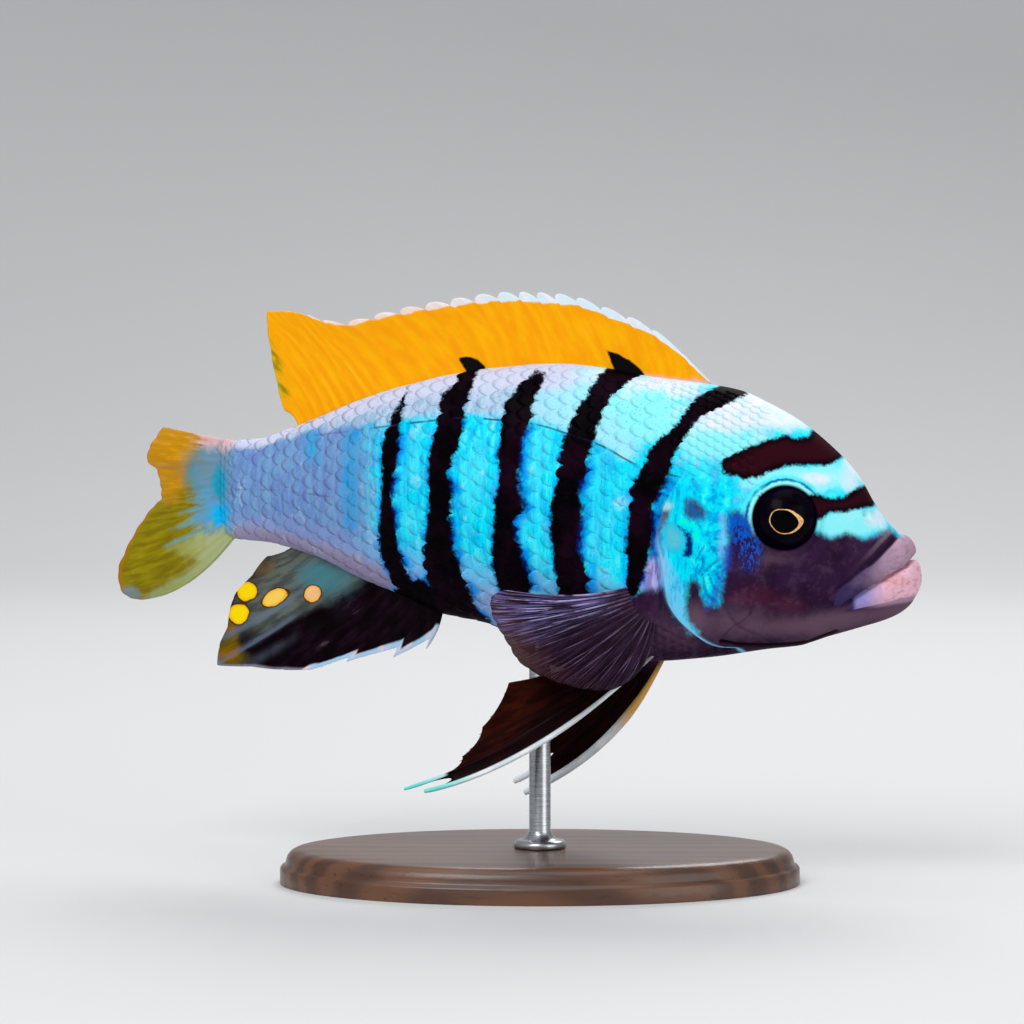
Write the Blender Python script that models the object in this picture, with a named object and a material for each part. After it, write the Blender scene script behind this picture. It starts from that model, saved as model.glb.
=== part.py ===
"""Life-size display model of a male afra cichlid, a barred blue rock fish, on a plain stand.

Blender units are metres, +Z is up. The fish swims towards +X with its right side to -Y, and its
tail swings to +Y. The origin is the middle of the stand's underside. Sizes below are millimetres.
"""

import math

import bmesh
import bpy
import numpy as np

MM = 0.001
GAP = 0.3

# Body outline: height of the back and of the belly, and half the width, along the length
BACK = [(-36.2, 50.5), (-32.9, 50.8), (-28.5, 52.3), (-21.1, 55.4), (-15.0, 57.4), (-6.4, 59.2),
        (2.3, 59.9), (6.9, 59.5), (11.7, 58.6), (19.2, 57.6), (22.8, 56.9), (26.2, 55.4),
        (29.7, 53.4), (33.1, 50.7), (36.5, 47.0), (38.2, 44.0), (39.9, 41.6), (41.6, 40.0),
        (42.8, 38.3), (43.6, 36.6)]
BELLY = [(-36.2, 38.9), (-31.6, 38.6), (-28.8, 38.0), (-25.6, 37.0), (-21.3, 35.0), (-15.6, 32.8),
         (-11.2, 30.9), (-6.2, 30.0), (-3.5, 29.0), (2.3, 27.5), (6.9, 26.5), (12.6, 25.8),
         (19.5, 26.3), (26.3, 27.3), (29.8, 27.7), (33.2, 28.8), (36.6, 29.8), (40.0, 30.9),
         (41.7, 31.7), (42.9, 32.9), (43.5, 34.6), (43.6, 35.2)]
HALF_WIDTH = [(-36.2, 1.4), (-34.0, 1.7), (-30.0, 2.4), (-24.0, 3.4), (-18.0, 4.5), (-11.0, 5.7),
              (-4.0, 6.7), (3.0, 7.4), (10.0, 7.7), (16.0, 7.6), (22.0, 7.2), (27.0, 6.7),
              (31.6, 6.0), (35.1, 5.2), (38.5, 4.1), (40.3, 3.4), (42.0, 2.5), (42.9, 1.7),
              (43.6, 0.3)]
BACK_FULLNESS = [(-36.0, 2.0), (-10.0, 1.9), (12.0, 2.0), (30.0, 2.1), (43.0, 2.3)]
BELLY_FULLNESS = [(-36.0, 2.0), (-20.0, 1.8), (-8.0, 2.0), (8.0, 2.4), (20.0, 2.5), (43.0, 2.2)]
WIDEST_AT = 0.52

# The backbone's bend, seen from above
BEND_START = 13.8
HEAD_LEAN = 0.07
BEND_RATE = 0.01026

# Lines on the head: distance along the fish at each share of the body's height
GILL_EDGE = [(0.0, 23.4), (0.03, 22.4), (0.045, 20.7), (0.08, 18.8), (0.12, 17.3), (0.17, 15.8),
             (0.22, 14.9), (0.3, 14.4), (0.38, 14.0), (0.44, 13.6), (0.5, 13.9), (0.61, 15.2),
             (0.69, 16.9), (0.82, 18.2), (1.0, 19.6)]
CHEEK_EDGE = [(0.0, 27.4), (0.055, 25.6), (0.12, 22.6), (0.19, 21.2), (0.26, 20.6), (0.42, 21.1),
              (0.53, 21.2), (0.6, 20.4), (0.66, 18.6), (0.72, 18.9), (1.0, 21.6)]
FACE_EDGE = [(0.0, 29.4), (0.07, 29.9), (0.11, 31.0), (0.16, 33.2), (0.2, 33.5), (0.25, 33.9),
             (0.318, 35.0), (0.423, 36.4), (0.547, 37.7), (0.763, 39.2), (1.0, 41.0)]
LIP_TOP = [(41.25, 40.75), (39.4, 39.5), (37.9, 38.1), (36.6, 36.8), (35.2, 35.3), (34.2, 34.0),
           (33.9, 33.2)]
LIP_SLIT = [(43.1, 37.7), (41.5, 37.2), (40.0, 36.1), (38.6, 35.2), (36.6, 33.9), (35.1, 33.1),
            (34.4, 32.8)]
JAW_TOP = [(30.3, 29.2), (31.5, 30.5), (32.9, 31.6), (34.3, 32.4), (36.7, 33.5), (38.7, 34.8),
           (40.1, 35.7), (41.6, 36.6), (42.6, 36.3), (43.3, 35.5)]
COVER_LOW = 0.06
COVER_HIGH = 0.66
COVER_POCKET = 1.2
COVER_PROUD = 0.25
COVER_TUCK = 0.55
EYE = (27.6, 42.6)
EYE_RADIUS = 3.7
EYE_DEPTH = 2.6
EYE_SUNK = 1.1
EYE_RIM = 0.45
NOSTRIL = (37.2, 42.6)
NOSTRIL_RADIUS = 0.5
TAIL_CUT = -28.6

# Fins with their rays. A fin is at least as thick as its skin, and each ray is a ridge on it.
SKIN_THICK = 0.5
DORSAL_SPINES = 17
DORSAL_SOFT_RAYS = 9
DORSAL_SOFT_FROM = -18.4
DORSAL_EDGE = [(19.2, 18.5, 58.4), (17.5, 16.7, 60.6), (15.0, 12.9, 63.8), (11.7, 8.6, 65.7),
               (6.9, 2.6, 67.6), (0.6, -3.4, 67.8), (-4.5, -9.4, 67.1), (-9.2, -15.5, 66.0),
               (-12.5, -19.9, 65.0), (-15.2, -23.6, 64.3), (-18.4, -27.4, 65.4),
               (-21.2, -29.9, 65.8), (-23.4, -32.0, 65.7), (-25.0, -31.9, 62.9),
               (-26.3, -31.1, 59.6), (-27.3, -30.6, 56.0), (-28.1, -30.0, 54.2)]
ANAL_SPINES = 3
ANAL_SOFT_RAYS = 9
ANAL_EDGE = [(-11.3, -13.2, 26.7), (-12.9, -16.9, 25.6), (-14.4, -21.9, 25.0),
             (-15.9, -26.0, 23.9), (-17.4, -29.6, 23.6), (-18.9, -33.2, 23.8),
             (-20.5, -38.2, 23.7), (-22.1, -38.0, 25.8), (-23.6, -37.0, 28.3),
             (-25.2, -36.2, 31.9), (-26.7, -33.8, 34.8), (-28.1, -32.2, 36.9)]
TAIL_RAYS = 16
TAIL_TIPS = [(-45.6, 29.5, 51.6), (-46.7, 29.0, 49.9), (-47.6, 28.5, 48.0), (-46.2, 27.6, 46.4),
             (-45.7, 26.6, 44.7), (-45.5, 26.0, 43.3), (-46.7, 25.8, 41.9), (-48.4, 25.6, 39.5),
             (-50.0, 25.4, 36.5), (-50.8, 25.2, 33.9), (-50.1, 25.0, 31.6), (-48.1, 24.5, 30.9)]
TAIL_ROOT_X = -36.2 - GAP
TAIL_ROOT_Z = (50.3, 39.0)
TAIL_PLEAT = 0.3
PELVIC_RAYS = 6
PELVIC_ROOT_X = ((13.2, 9.0), (14.4, 9.6))
PELVIC_ROOT_OFF = 3.0
RIGHT_PELVIC_TIPS = [(-13.2, -8.5, 11.5), (-15.5, -8.0, 11.7), (-11.4, -7.5, 13.0),
                     (-8.9, -7.0, 15.3), (-6.6, -6.3, 18.6), (-3.6, -5.6, 23.6)]
RIGHT_PELVIC_BOW = ((-0.8, -5.2), (0.5, -0.8))
LEFT_PELVIC_TIPS = [(-1.8, 7.0, 9.6), (-3.0, 7.0, 10.9), (-1.2, 6.8, 13.2), (-2.0, 6.4, 16.3),
                    (-1.9, 6.0, 19.5), (-1.0, 5.6, 23.0)]
LEFT_PELVIC_BOW = ((3.2, -3.4), (0.5, -0.8))
PECTORAL_RAYS = 14
PECTORAL_TIPS = [(-4.2, 11.0, 34.6), (-5.7, 11.5, 33.4), (-5.4, 12.0, 31.8), (-4.6, 12.5, 30.2),
                 (-3.6, 12.5, 28.6), (-2.8, 12.5, 27.1), (-1.2, 12.5, 25.7), (1.3, 12.3, 24.5),
                 (3.9, 12.0, 23.7), (6.7, 11.5, 23.2), (9.0, 11.0, 23.7), (11.2, 10.0, 25.3)]
PECTORAL_ROOT = ((11.4, 34.8), (13.3, 31.0))

# Stand
BASE_LENGTH = 60.0
BASE_WIDTH = 40.0
BASE_THICK = 4.0
BASE_CHAMFER = 0.7
ROD_RADIUS = 1.25
FOOT_RADIUS = 3.0
FOOT_HEIGHT = 1.0


def curve(knots):
    """A smooth line through (place, value) knots, which never swings past them."""
    x, y = np.array(sorted(knots), float).T
    step = np.diff(x)
    rise = np.diff(y) / step
    slope = np.zeros(len(x))
    slope[0], slope[-1] = rise[0], rise[-1]
    for k in range(1, len(x) - 1):
        if rise[k - 1] * rise[k] > 0:
            a, b = 2 * step[k] + step[k - 1], step[k] + 2 * step[k - 1]
            slope[k] = (a + b) / (a / rise[k - 1] + b / rise[k])

    def at(place):
        place = np.clip(place, x[0], x[-1])
        k = np.clip(np.searchsorted(x, place) - 1, 0, len(x) - 2)
        t = (place - x[k]) / step[k]
        return (y[k] * (1 + 2 * t) * (1 - t) ** 2 + y[k + 1] * t * t * (3 - 2 * t)
                + step[k] * (slope[k] * t * (1 - t) ** 2 + slope[k + 1] * t * t * (t - 1)))

    return at


def path(points, share):
    """Points at the given shares of a smooth path through a list of points."""
    places = np.linspace(0.0, 1.0, len(points))
    return np.stack([curve(zip(places, axis))(share) for axis in zip(*points)], axis=-1)


back, belly, half_width = curve(BACK), curve(BELLY), curve(HALF_WIDTH)
back_fullness, belly_fullness = curve(BACK_FULLNESS), curve(BELLY_FULLNESS)
gill_edge, cheek_edge, face_edge = curve(GILL_EDGE), curve(CHEEK_EDGE), curve(FACE_EDGE)


def lean(x):
    """How fast the backbone runs to the side, for each millimetre towards the tail."""
    return HEAD_LEAN + BEND_RATE * np.maximum(BEND_START - x, 0.0)


def backbone(x):
    """The body's middle, seen from above. It crosses the stand's rod."""
    def sideways(at):
        behind = BEND_START - at
        return HEAD_LEAN * behind + BEND_RATE * np.maximum(behind, 0.0) ** 2 / 2
    return sideways(x) - sideways(0.0)


def flank(x, share):
    """Half the body's width at a share of its height."""
    above = share > WIDEST_AT
    reach = np.where(above, (share - WIDEST_AT) / (1 - WIDEST_AT), (WIDEST_AT - share) / WIDEST_AT)
    full = np.where(above, back_fullness(x), belly_fullness(x))
    return half_width(x) * (1 - np.clip(reach, 0, 1) ** full) ** (1 / full)


def height(x, share):
    return belly(x) + share * (back(x) - belly(x))


def share_of(x, z):
    return np.clip((z - belly(x)) / (back(x) - belly(x)), 0.0, 1.0)


def off_backbone(x, z, out, side):
    """Points this far out from the backbone, to the right where side is -1."""
    turn = np.arctan(lean(x))
    return np.stack([x + side * np.sin(turn) * out, backbone(x) + side * np.cos(turn) * out, z], -1)


def material(name, colour, roughness, metallic=0.0):
    made = bpy.data.materials.get(name) or bpy.data.materials.new(name)
    made.use_nodes = True
    shader = made.node_tree.nodes["Principled BSDF"]
    shader.inputs["Base Color"].default_value = (*colour, 1.0)
    shader.inputs["Roughness"].default_value = roughness
    shader.inputs["Metallic"].default_value = metallic
    return made


BLUE_SKIN = material("blue_skin", (0.16, 0.62, 0.85), 0.35)
LIP_SKIN = material("lip_skin", (0.35, 0.22, 0.27), 0.4)
ORANGE_FIN = material("orange_fin", (1.0, 0.42, 0.01), 0.4)
DARK_FIN = material("dark_fin", (0.05, 0.02, 0.03), 0.4)
OLIVE_FIN = material("olive_fin", (0.5, 0.36, 0.05), 0.4)
EYE_BLACK = material("eye_black", (0.01, 0.01, 0.01), 0.05)
WALNUT = material("walnut", (0.12, 0.06, 0.03), 0.45)
STEEL = material("steel", (0.6, 0.6, 0.62), 0.3, 1.0)


def new_object(name, mesh, finish):
    made = bpy.data.objects.new(name, mesh)
    bpy.context.scene.collection.objects.link(made)
    mesh.materials.append(finish)
    mesh.shade_smooth()
    mesh.set_sharp_from_angle(angle=math.radians(40))
    return made


def shell(name, near, far, finish):
    """A closed piece between two grids of points that face each other, split alike on both."""
    rows, columns = near.shape[:2]
    mesh = bmesh.new()
    sheets = [[[mesh.verts.new(p * MM) for p in line] for line in grid] for grid in (near, far)]
    for sheet, order in ((sheets[0], 1), (sheets[1], -1)):
        for i in range(rows - 1):
            for j in range(columns - 1):
                a, b = sheet[i][j], sheet[i + 1][j]
                c, d = sheet[i + 1][j + 1], sheet[i][j + 1]
                mesh.faces.new((a, b, c)[::order])
                mesh.faces.new((a, c, d)[::order])
    rim = [(i, 0) for i in range(rows)] + [(rows - 1, j) for j in range(1, columns)]
    rim += [(i, columns - 1) for i in range(rows - 2, -1, -1)]
    rim += [(0, j) for j in range(columns - 2, 0, -1)]
    for (i, j), (k, m) in zip(rim, rim[1:] + rim[:1]):
        mesh.faces.new((sheets[0][k][m], sheets[0][i][j], sheets[1][i][j]))
        mesh.faces.new((sheets[0][k][m], sheets[1][i][j], sheets[1][k][m]))
    bmesh.ops.remove_doubles(mesh, verts=mesh.verts, dist=1e-6)
    bmesh.ops.dissolve_degenerate(mesh, edges=mesh.edges, dist=1e-7)
    bmesh.ops.triangulate(mesh, faces=mesh.faces)
    bmesh.ops.recalc_face_normals(mesh, faces=mesh.faces)
    made = bpy.data.meshes.new(name)
    mesh.to_mesh(made)
    mesh.free()
    return new_object(name, made, finish)


def block(name, x, share, proud, finish):
    """A piece of the body as wide as the fish, from a grid of places on its side."""
    out = flank(x, share) + proud * (flank(x, share) > 0)
    sides = [off_backbone(x, height(x, share), out, side) for side in (-1, 1)]
    return shell(name, *sides, finish)


def rows_of(count, low=0.0, high=1.0):
    """Shares of the height, closer together at the back and the belly."""
    return low + (high - low) * (1 - np.cos(np.linspace(0, math.pi, count))) / 2


def body_rows():
    """The head's rows and the trunk's, with a close pair at each end of the gill cover."""
    step = 0.004
    return np.concatenate([rows_of(7, 0.0, COVER_LOW - step), rows_of(10, COVER_LOW, COVER_HIGH),
                           rows_of(7, COVER_HIGH + step, 1.0)])


def blended(first, last, count):
    """A grid of points from one line of points to another."""
    t = np.linspace(0, 1, count)[:, None, None]
    return first * (1 - t) + last * t


def ball(name, centre, radii, finish, around=20, rings=12):
    """An egg shape whose poles face the fish's sides."""
    mesh = bmesh.new()
    bmesh.ops.create_uvsphere(mesh, u_segments=around, v_segments=rings, radius=1.0)
    for vertex in mesh.verts:
        x, y, z = vertex.co
        place = np.array(centre) + np.array((x, z, y)) * np.array(radii)
        vertex.co = place * MM
    bmesh.ops.triangulate(mesh, faces=mesh.faces)
    bmesh.ops.recalc_face_normals(mesh, faces=mesh.faces)
    made = bpy.data.meshes.new(name)
    mesh.to_mesh(made)
    mesh.free()
    return new_object(name, made, finish)


def hollow_out(body, cutters):
    """Cuts the cutters from the body, and keeps the result in its mesh."""
    for cutter in cutters:
        cut = body.modifiers.new(cutter.name, "BOOLEAN")
        cut.operation = "DIFFERENCE"
        cut.solver = "EXACT"
        cut.object = cutter
    evaluated = body.evaluated_get(bpy.context.evaluated_depsgraph_get())
    cut_mesh = bpy.data.meshes.new_from_object(evaluated)
    body.modifiers.clear()
    body.data = cut_mesh
    for cutter in cutters:
        bpy.data.objects.remove(cutter)


def on_skin(x, z, side, inwards=0.0):
    return off_backbone(np.array(x), np.array(z), flank(x, share_of(x, z)) - inwards, side)


def build_head():
    """Skull and cheeks, with a shallow pocket for each gill cover, eye sockets and nostrils."""
    shares = body_rows()
    behind = np.linspace(0, 1, 5)[:, None]
    gill, cheek, face = gill_edge(shares), cheek_edge(shares), face_edge(shares)
    pocket_x = gill * (1 - behind) + cheek * behind
    ahead = np.linspace(0, 1, 15)[:, None]
    front_x = (cheek + 0.05) * (1 - ahead) + face * ahead
    x = np.concatenate([pocket_x, front_x])
    share = np.broadcast_to(shares, x.shape)
    from_eye = np.hypot(x - EYE[0], height(x, share) - EYE[1])
    proud = EYE_RIM * np.exp(-((from_eye - EYE_RADIUS) / 1.1) ** 2)
    proud[:len(behind), (shares >= COVER_LOW) & (shares <= COVER_HIGH)] = -COVER_POCKET
    head = block("head", x, share, proud, BLUE_SKIN)
    cutters = []
    for side, word in ((-1, "right"), (1, "left")):
        socket = [EYE_RADIUS + GAP, EYE_DEPTH + GAP, EYE_RADIUS + GAP]
        cutters.append(ball(f"socket_{word}", on_skin(*EYE, side, EYE_SUNK), socket, BLUE_SKIN))
        pit = [NOSTRIL_RADIUS] * 3
        cutters.append(ball(f"pit_{word}", on_skin(*NOSTRIL, side), pit, BLUE_SKIN, 10, 8))
    hollow_out(head, cutters)


def build_gill_cover(side, word):
    """The bony flap over the gills, a curved plate proud of the flank behind it."""
    shares = rows_of(11, COVER_LOW + 0.012, COVER_HIGH - 0.012)
    along = np.linspace(0, 1, 8)[:, None]
    x = gill_edge(shares) * (1 - along) + (cheek_edge(shares) - GAP) * along
    share = np.broadcast_to(shares, x.shape)
    crown = np.sin(np.pi * along) ** 0.5 * COVER_PROUD + COVER_PROUD / 2
    z, out = height(x, share), flank(x, share)
    outer = off_backbone(x, z, out + crown, side)
    inner = off_backbone(x, z, out - COVER_POCKET + GAP, side)
    shell(f"gill_cover_{word}", outer, inner, BLUE_SKIN)


def build_lip():
    """The thick upper lip, one roll round the snout from one corner of the mouth to the other."""
    along = np.linspace(0, 1, 14)
    grid = blended(path(LIP_TOP, along), path(LIP_SLIT, along), 6)
    x, share = grid[..., 0], share_of(grid[..., 0], grid[..., 1])
    roll = np.sin(np.linspace(0, math.pi, 6))[:, None] * 0.45
    block("upper_lip", x, share, np.broadcast_to(roll, x.shape), LIP_SKIN)


def build_jaw():
    """The lower jaw and its lip, from the chin back to the jaw's hinge."""
    along = np.linspace(0, 1, 13)
    top = path(JAW_TOP, along)
    under_x = 29.8 + along * (43.5 - 29.8)
    bottom = np.stack([under_x, belly(under_x)], -1)
    grid = blended(bottom, top, 8)
    x, share = grid[..., 0], share_of(grid[..., 0], grid[..., 1])
    upward = np.linspace(0, 1, 8)[:, None]
    roll = np.clip((upward - 0.45) / 0.55, 0, 1)
    roll = np.sin(roll * math.pi) * 0.45 * np.clip((x - 33) / 2, 0, 1)
    block("lower_jaw", x, share, roll, LIP_SKIN)


def build_trunk():
    """The body from the gill opening to the tail stalk, tucked in under the gill covers."""
    shares = body_rows()
    front = gill_edge(shares) - GAP - 0.05
    forward = 1 - (1 - np.linspace(0, 1, 22)[:, None]) ** 1.15
    x = TAIL_CUT + GAP / 2 + (front - TAIL_CUT - GAP / 2) * forward
    share = np.broadcast_to(shares, x.shape)
    near_gill = np.clip(1 - (front - x) / 3.0, 0, 1)
    under_cover = (share > COVER_LOW / 2) & (share < COVER_HIGH + 0.05)
    block("trunk", x, share, -COVER_TUCK * near_gill * under_cover, BLUE_SKIN)


def build_tail_stalk():
    """The narrow stalk that carries the tail fin."""
    shares = rows_of(15)
    x = np.linspace(BACK[0][0], TAIL_CUT - GAP / 2, 8)[:, None] + 0 * shares
    block("tail_stalk", x, np.broadcast_to(shares, x.shape), np.zeros(x.shape), BLUE_SKIN)


def bowed(roots, tips, bow):
    """Rays as (root, bend, tip) points. The bend is the middle of the ray, moved by the bow."""
    roots, tips = np.array(roots), np.array(tips)
    return np.stack([roots, (roots + tips) / 2 + np.array(bow), tips], axis=1)


def fin(name, rays, ridge, finish, steps=6, reach=None, pleat=0.0, root_thick=1.0, flat=False):
    """A fin as one closed sheet, with each ray a raised line between stretches of thin skin."""
    count = len(rays)
    place = (np.arange(count - 1)[:, None] + np.array([0.0, 0.28, 0.72])).ravel()
    place = np.append(place, count - 1.0)
    ray = np.minimum(place.astype(int), count - 2)
    past = (place - ray)[:, None, None]
    root, bend, tip = np.moveaxis(rays[ray] * (1 - past) + rays[ray + 1] * past, 1, 0)
    past = past[:, :, 0]
    on_ray = (past == 0) | (past == 1)
    length = np.linalg.norm(tip - root, axis=1)[:, None]
    end = np.ones(past.shape) if reach is None else 1 - reach(place[:, None], on_ray) / length
    t = np.linspace(0, 1, steps)[None, :, None] * end[:, :, None]
    sheet = (root[:, None] * (1 - t) ** 2 + 2 * bend[:, None] * t * (1 - t)
             + tip[:, None] * t * t)
    across, along = np.gradient(sheet, axis=0), np.gradient(sheet, axis=1)
    out = np.cross(across, along)
    out /= np.linalg.norm(out, axis=-1, keepdims=True)
    if flat:
        out = np.broadcast_to(out.mean((0, 1)), out.shape)
        out = out / np.linalg.norm(out, axis=-1, keepdims=True)
    side_step = np.where(ray[:, None] % 2, -1.0, 1.0) * (1 - 2 * past) * pleat
    sheet = sheet + out * side_step[:, :, None] * t
    half = SKIN_THICK / 2 + (root_thick - SKIN_THICK) / 2 * np.clip(1 - t / 0.35, 0, 1) ** 2
    half = half + on_ray[:, :, None] * ridge * (1 - 0.7 * t)
    return shell(name, sheet + out * half, sheet - out * half, finish)


def in_middle(x, z):
    """A point in the plane that the backbone bends."""
    return (float(x), float(backbone(x)), float(z))


def edge_of(places, edge, line, off):
    """Roots along the back or the belly, and the tips that belong to them on a fin's edge."""
    tip_x = curve([(root, x) for root, x, _ in edge])
    tip_z = curve([(root, z) for root, _, z in edge])
    roots = [in_middle(x, line(x) + off) for x in places]
    return roots, [in_middle(tip_x(x), tip_z(x)) for x in places]


def build_dorsal_fin():
    """The long fin on the back, with a notch at each spine and an even edge behind them."""
    spines = np.linspace(DORSAL_EDGE[0][0], DORSAL_SOFT_FROM + 1.6, DORSAL_SPINES)
    soft = np.linspace(DORSAL_SOFT_FROM, DORSAL_EDGE[-1][0], DORSAL_SOFT_RAYS)
    roots, tips = edge_of([*spines, *soft], DORSAL_EDGE, back, GAP)

    def reach(place, on_ray):
        return 0.6 * on_ray * (place > 1) * (place < DORSAL_SPINES)

    rays = bowed(roots, tips, (1.0, 0.0, 0.7))
    fin("dorsal_fin", rays, 0.25, ORANGE_FIN, 6, reach, root_thick=1.2)


def build_anal_fin():
    """The fin behind the vent. Its three spines stand clear of the skin at their tips."""
    spines = np.linspace(ANAL_EDGE[0][0], -14.6, ANAL_SPINES)
    soft = np.linspace(-16.2, ANAL_EDGE[-1][0], ANAL_SOFT_RAYS)
    roots, tips = edge_of([*spines, *soft], ANAL_EDGE, belly, -GAP)

    def reach(place, on_ray):
        return 0.8 * ~on_ray * (place < ANAL_SPINES)

    rays = bowed(roots, tips, (0.6, 0.0, -0.6))
    fin("anal_fin", rays, 0.25, DARK_FIN, 6, reach, root_thick=1.1)


def build_tail_fin():
    """The tail fin, spread more below than above and gently pleated."""
    share = np.linspace(0, 1, TAIL_RAYS)
    roots = [in_middle(TAIL_ROOT_X, z) for z in np.linspace(*TAIL_ROOT_Z, TAIL_RAYS)]
    low = share[:, None] ** 3
    bow = np.array((-0.6, -0.8, 0.0)) * (1 - low) + np.array((0.2, 0.0, -3.3)) * low
    rays = bowed(roots, path(TAIL_TIPS, share), bow)
    fin("tail_fin", rays, 0.22, OLIVE_FIN, 7, pleat=TAIL_PLEAT, root_thick=1.5)


def build_pelvic_fin(side, word, tips, bow):
    """A belly fin. Its front ray trails as a thread, and the skin ends short of the ray tips."""
    roots = []
    for x in np.linspace(*PELVIC_ROOT_X[side > 0], PELVIC_RAYS):
        fullness = float(belly_fullness(x))
        reach = (1 - (PELVIC_ROOT_OFF / float(half_width(x))) ** fullness) ** (1 / fullness)
        skin_z = float(height(x, WIDEST_AT * (1 - reach)))
        roots.append(off_backbone(x, skin_z - GAP - 0.2, PELVIC_ROOT_OFF, side))
    behind = np.linspace(0, 1, PELVIC_RAYS)[:, None]
    bend = np.array(bow[0]) * (1 - behind) ** 2 + np.array(bow[1]) * (1 - (1 - behind) ** 2)
    bend = np.stack([bend[:, 0], side * 0.8 * (1 - behind[:, 0]), bend[:, 1]], -1)

    def reach(place, on_ray):
        return ~on_ray * np.where(place < 2, 2.4, 0.7)

    fin(f"pelvic_fin_{word}", bowed(roots, tips, bend), 0.2, DARK_FIN, 8, reach, flat=True)


def build_pectoral_fin(side, word):
    """A side fin, fanned behind the gill cover and held a little off the flank."""
    high, low = (np.array(p) for p in PECTORAL_ROOT)
    share = np.linspace(0, 1, PECTORAL_RAYS)
    roots = []
    for t in share:
        x, z = high * (1 - t) + low * t
        roots.append(on_skin(x, z, side, -GAP - 0.6))
    shift = 0.0 if side < 0 else float(backbone(12.0)) * 2
    tips = path(PECTORAL_TIPS, share) * np.array((1, side, 1)) + np.array((0, shift, 0))

    def reach(place, on_ray):
        return ~on_ray * 0.25

    rays = bowed(roots, tips, (1.0, side * 1.2, 0.0))
    fin(f"pectoral_fin_{word}", rays, 0.15, DARK_FIN, 6, reach, root_thick=0.8)


def build_eye(side, word):
    radii = [EYE_RADIUS, EYE_DEPTH, EYE_RADIUS]
    ball(f"eye_{word}", on_skin(*EYE, side, EYE_SUNK), radii, EYE_BLACK, 20, 12)


def turned(name, profile, stretch, finish, around):
    """A solid turned about the upright axis, from (radius, height) points, then stretched."""
    mesh = bmesh.new()
    rings = []
    for radius, level in profile:
        ring = []
        for k in range(around):
            angle = 2 * math.pi * k / around
            x, y = radius * math.cos(angle) * stretch[0], radius * math.sin(angle) * stretch[1]
            ring.append(mesh.verts.new((x * MM, y * MM, level * MM)))
        rings.append(ring)
    for lower, upper in zip(rings, rings[1:]):
        for k in range(around):
            m = (k + 1) % around
            mesh.faces.new((lower[k], lower[m], upper[m], upper[k]))
    mesh.faces.new(rings[0][::-1])
    mesh.faces.new(rings[-1])
    bmesh.ops.triangulate(mesh, faces=mesh.faces)
    bmesh.ops.recalc_face_normals(mesh, faces=mesh.faces)
    made = bpy.data.meshes.new(name)
    mesh.to_mesh(made)
    mesh.free()
    return new_object(name, made, finish)


def build_stand():
    """An oval wooden base and a steel rod with a small foot, which stops just under the belly."""
    edge = BASE_WIDTH / 2
    inset = edge - BASE_CHAMFER
    profile = [(inset, 0.0), (edge, BASE_CHAMFER), (edge, BASE_THICK - BASE_CHAMFER),
               (inset, BASE_THICK)]
    turned("stand_base", profile, (BASE_LENGTH / BASE_WIDTH, 1.0), WALNUT, 48)
    foot = BASE_THICK + GAP
    profile = [(FOOT_RADIUS, foot), (FOOT_RADIUS, foot + FOOT_HEIGHT * 0.6),
               (ROD_RADIUS + 0.6, foot + FOOT_HEIGHT), (ROD_RADIUS, foot + FOOT_HEIGHT + 0.5),
               (ROD_RADIUS, float(belly(0.0)) - GAP - 0.15)]
    turned("stand_rod", profile, (1.0, 1.0), STEEL, 20)


def main():
    for old in list(bpy.data.objects):
        bpy.data.objects.remove(old)
    build_head()
    build_lip()
    build_jaw()
    build_trunk()
    build_tail_stalk()
    build_dorsal_fin()
    build_anal_fin()
    build_tail_fin()
    for side, word in ((-1, "right"), (1, "left")):
        build_gill_cover(side, word)
        build_eye(side, word)
        build_pectoral_fin(side, word)
    build_pelvic_fin(-1, "right", RIGHT_PELVIC_TIPS, RIGHT_PELVIC_BOW)
    build_pelvic_fin(1, "left", LEFT_PELVIC_TIPS, LEFT_PELVIC_BOW)
    build_stand()


main()
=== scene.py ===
"""Looks of a life-size display model: a male afra cichlid, a barred blue rock fish, on a stand.

Metres, +Z up. The fish swims towards +X with its right side to -Y, and its tail swings to +Y.
Lengths are millimetres, unless a comment says otherwise, and MM turns them into metres.
"""

import math

import bmesh
import bpy
import numpy as np
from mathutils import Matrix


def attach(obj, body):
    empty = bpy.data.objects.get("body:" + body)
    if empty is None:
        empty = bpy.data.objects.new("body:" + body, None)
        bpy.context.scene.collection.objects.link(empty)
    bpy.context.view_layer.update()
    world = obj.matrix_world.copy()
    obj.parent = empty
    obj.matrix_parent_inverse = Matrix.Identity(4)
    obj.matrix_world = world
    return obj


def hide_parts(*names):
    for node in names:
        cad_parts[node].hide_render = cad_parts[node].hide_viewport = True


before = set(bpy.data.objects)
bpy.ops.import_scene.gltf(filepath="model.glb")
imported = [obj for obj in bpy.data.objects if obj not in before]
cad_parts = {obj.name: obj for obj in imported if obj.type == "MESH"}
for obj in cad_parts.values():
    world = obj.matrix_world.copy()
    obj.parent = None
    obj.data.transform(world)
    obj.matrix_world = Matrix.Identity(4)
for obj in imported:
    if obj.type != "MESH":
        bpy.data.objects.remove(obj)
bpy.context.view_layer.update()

MM = 0.001

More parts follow.
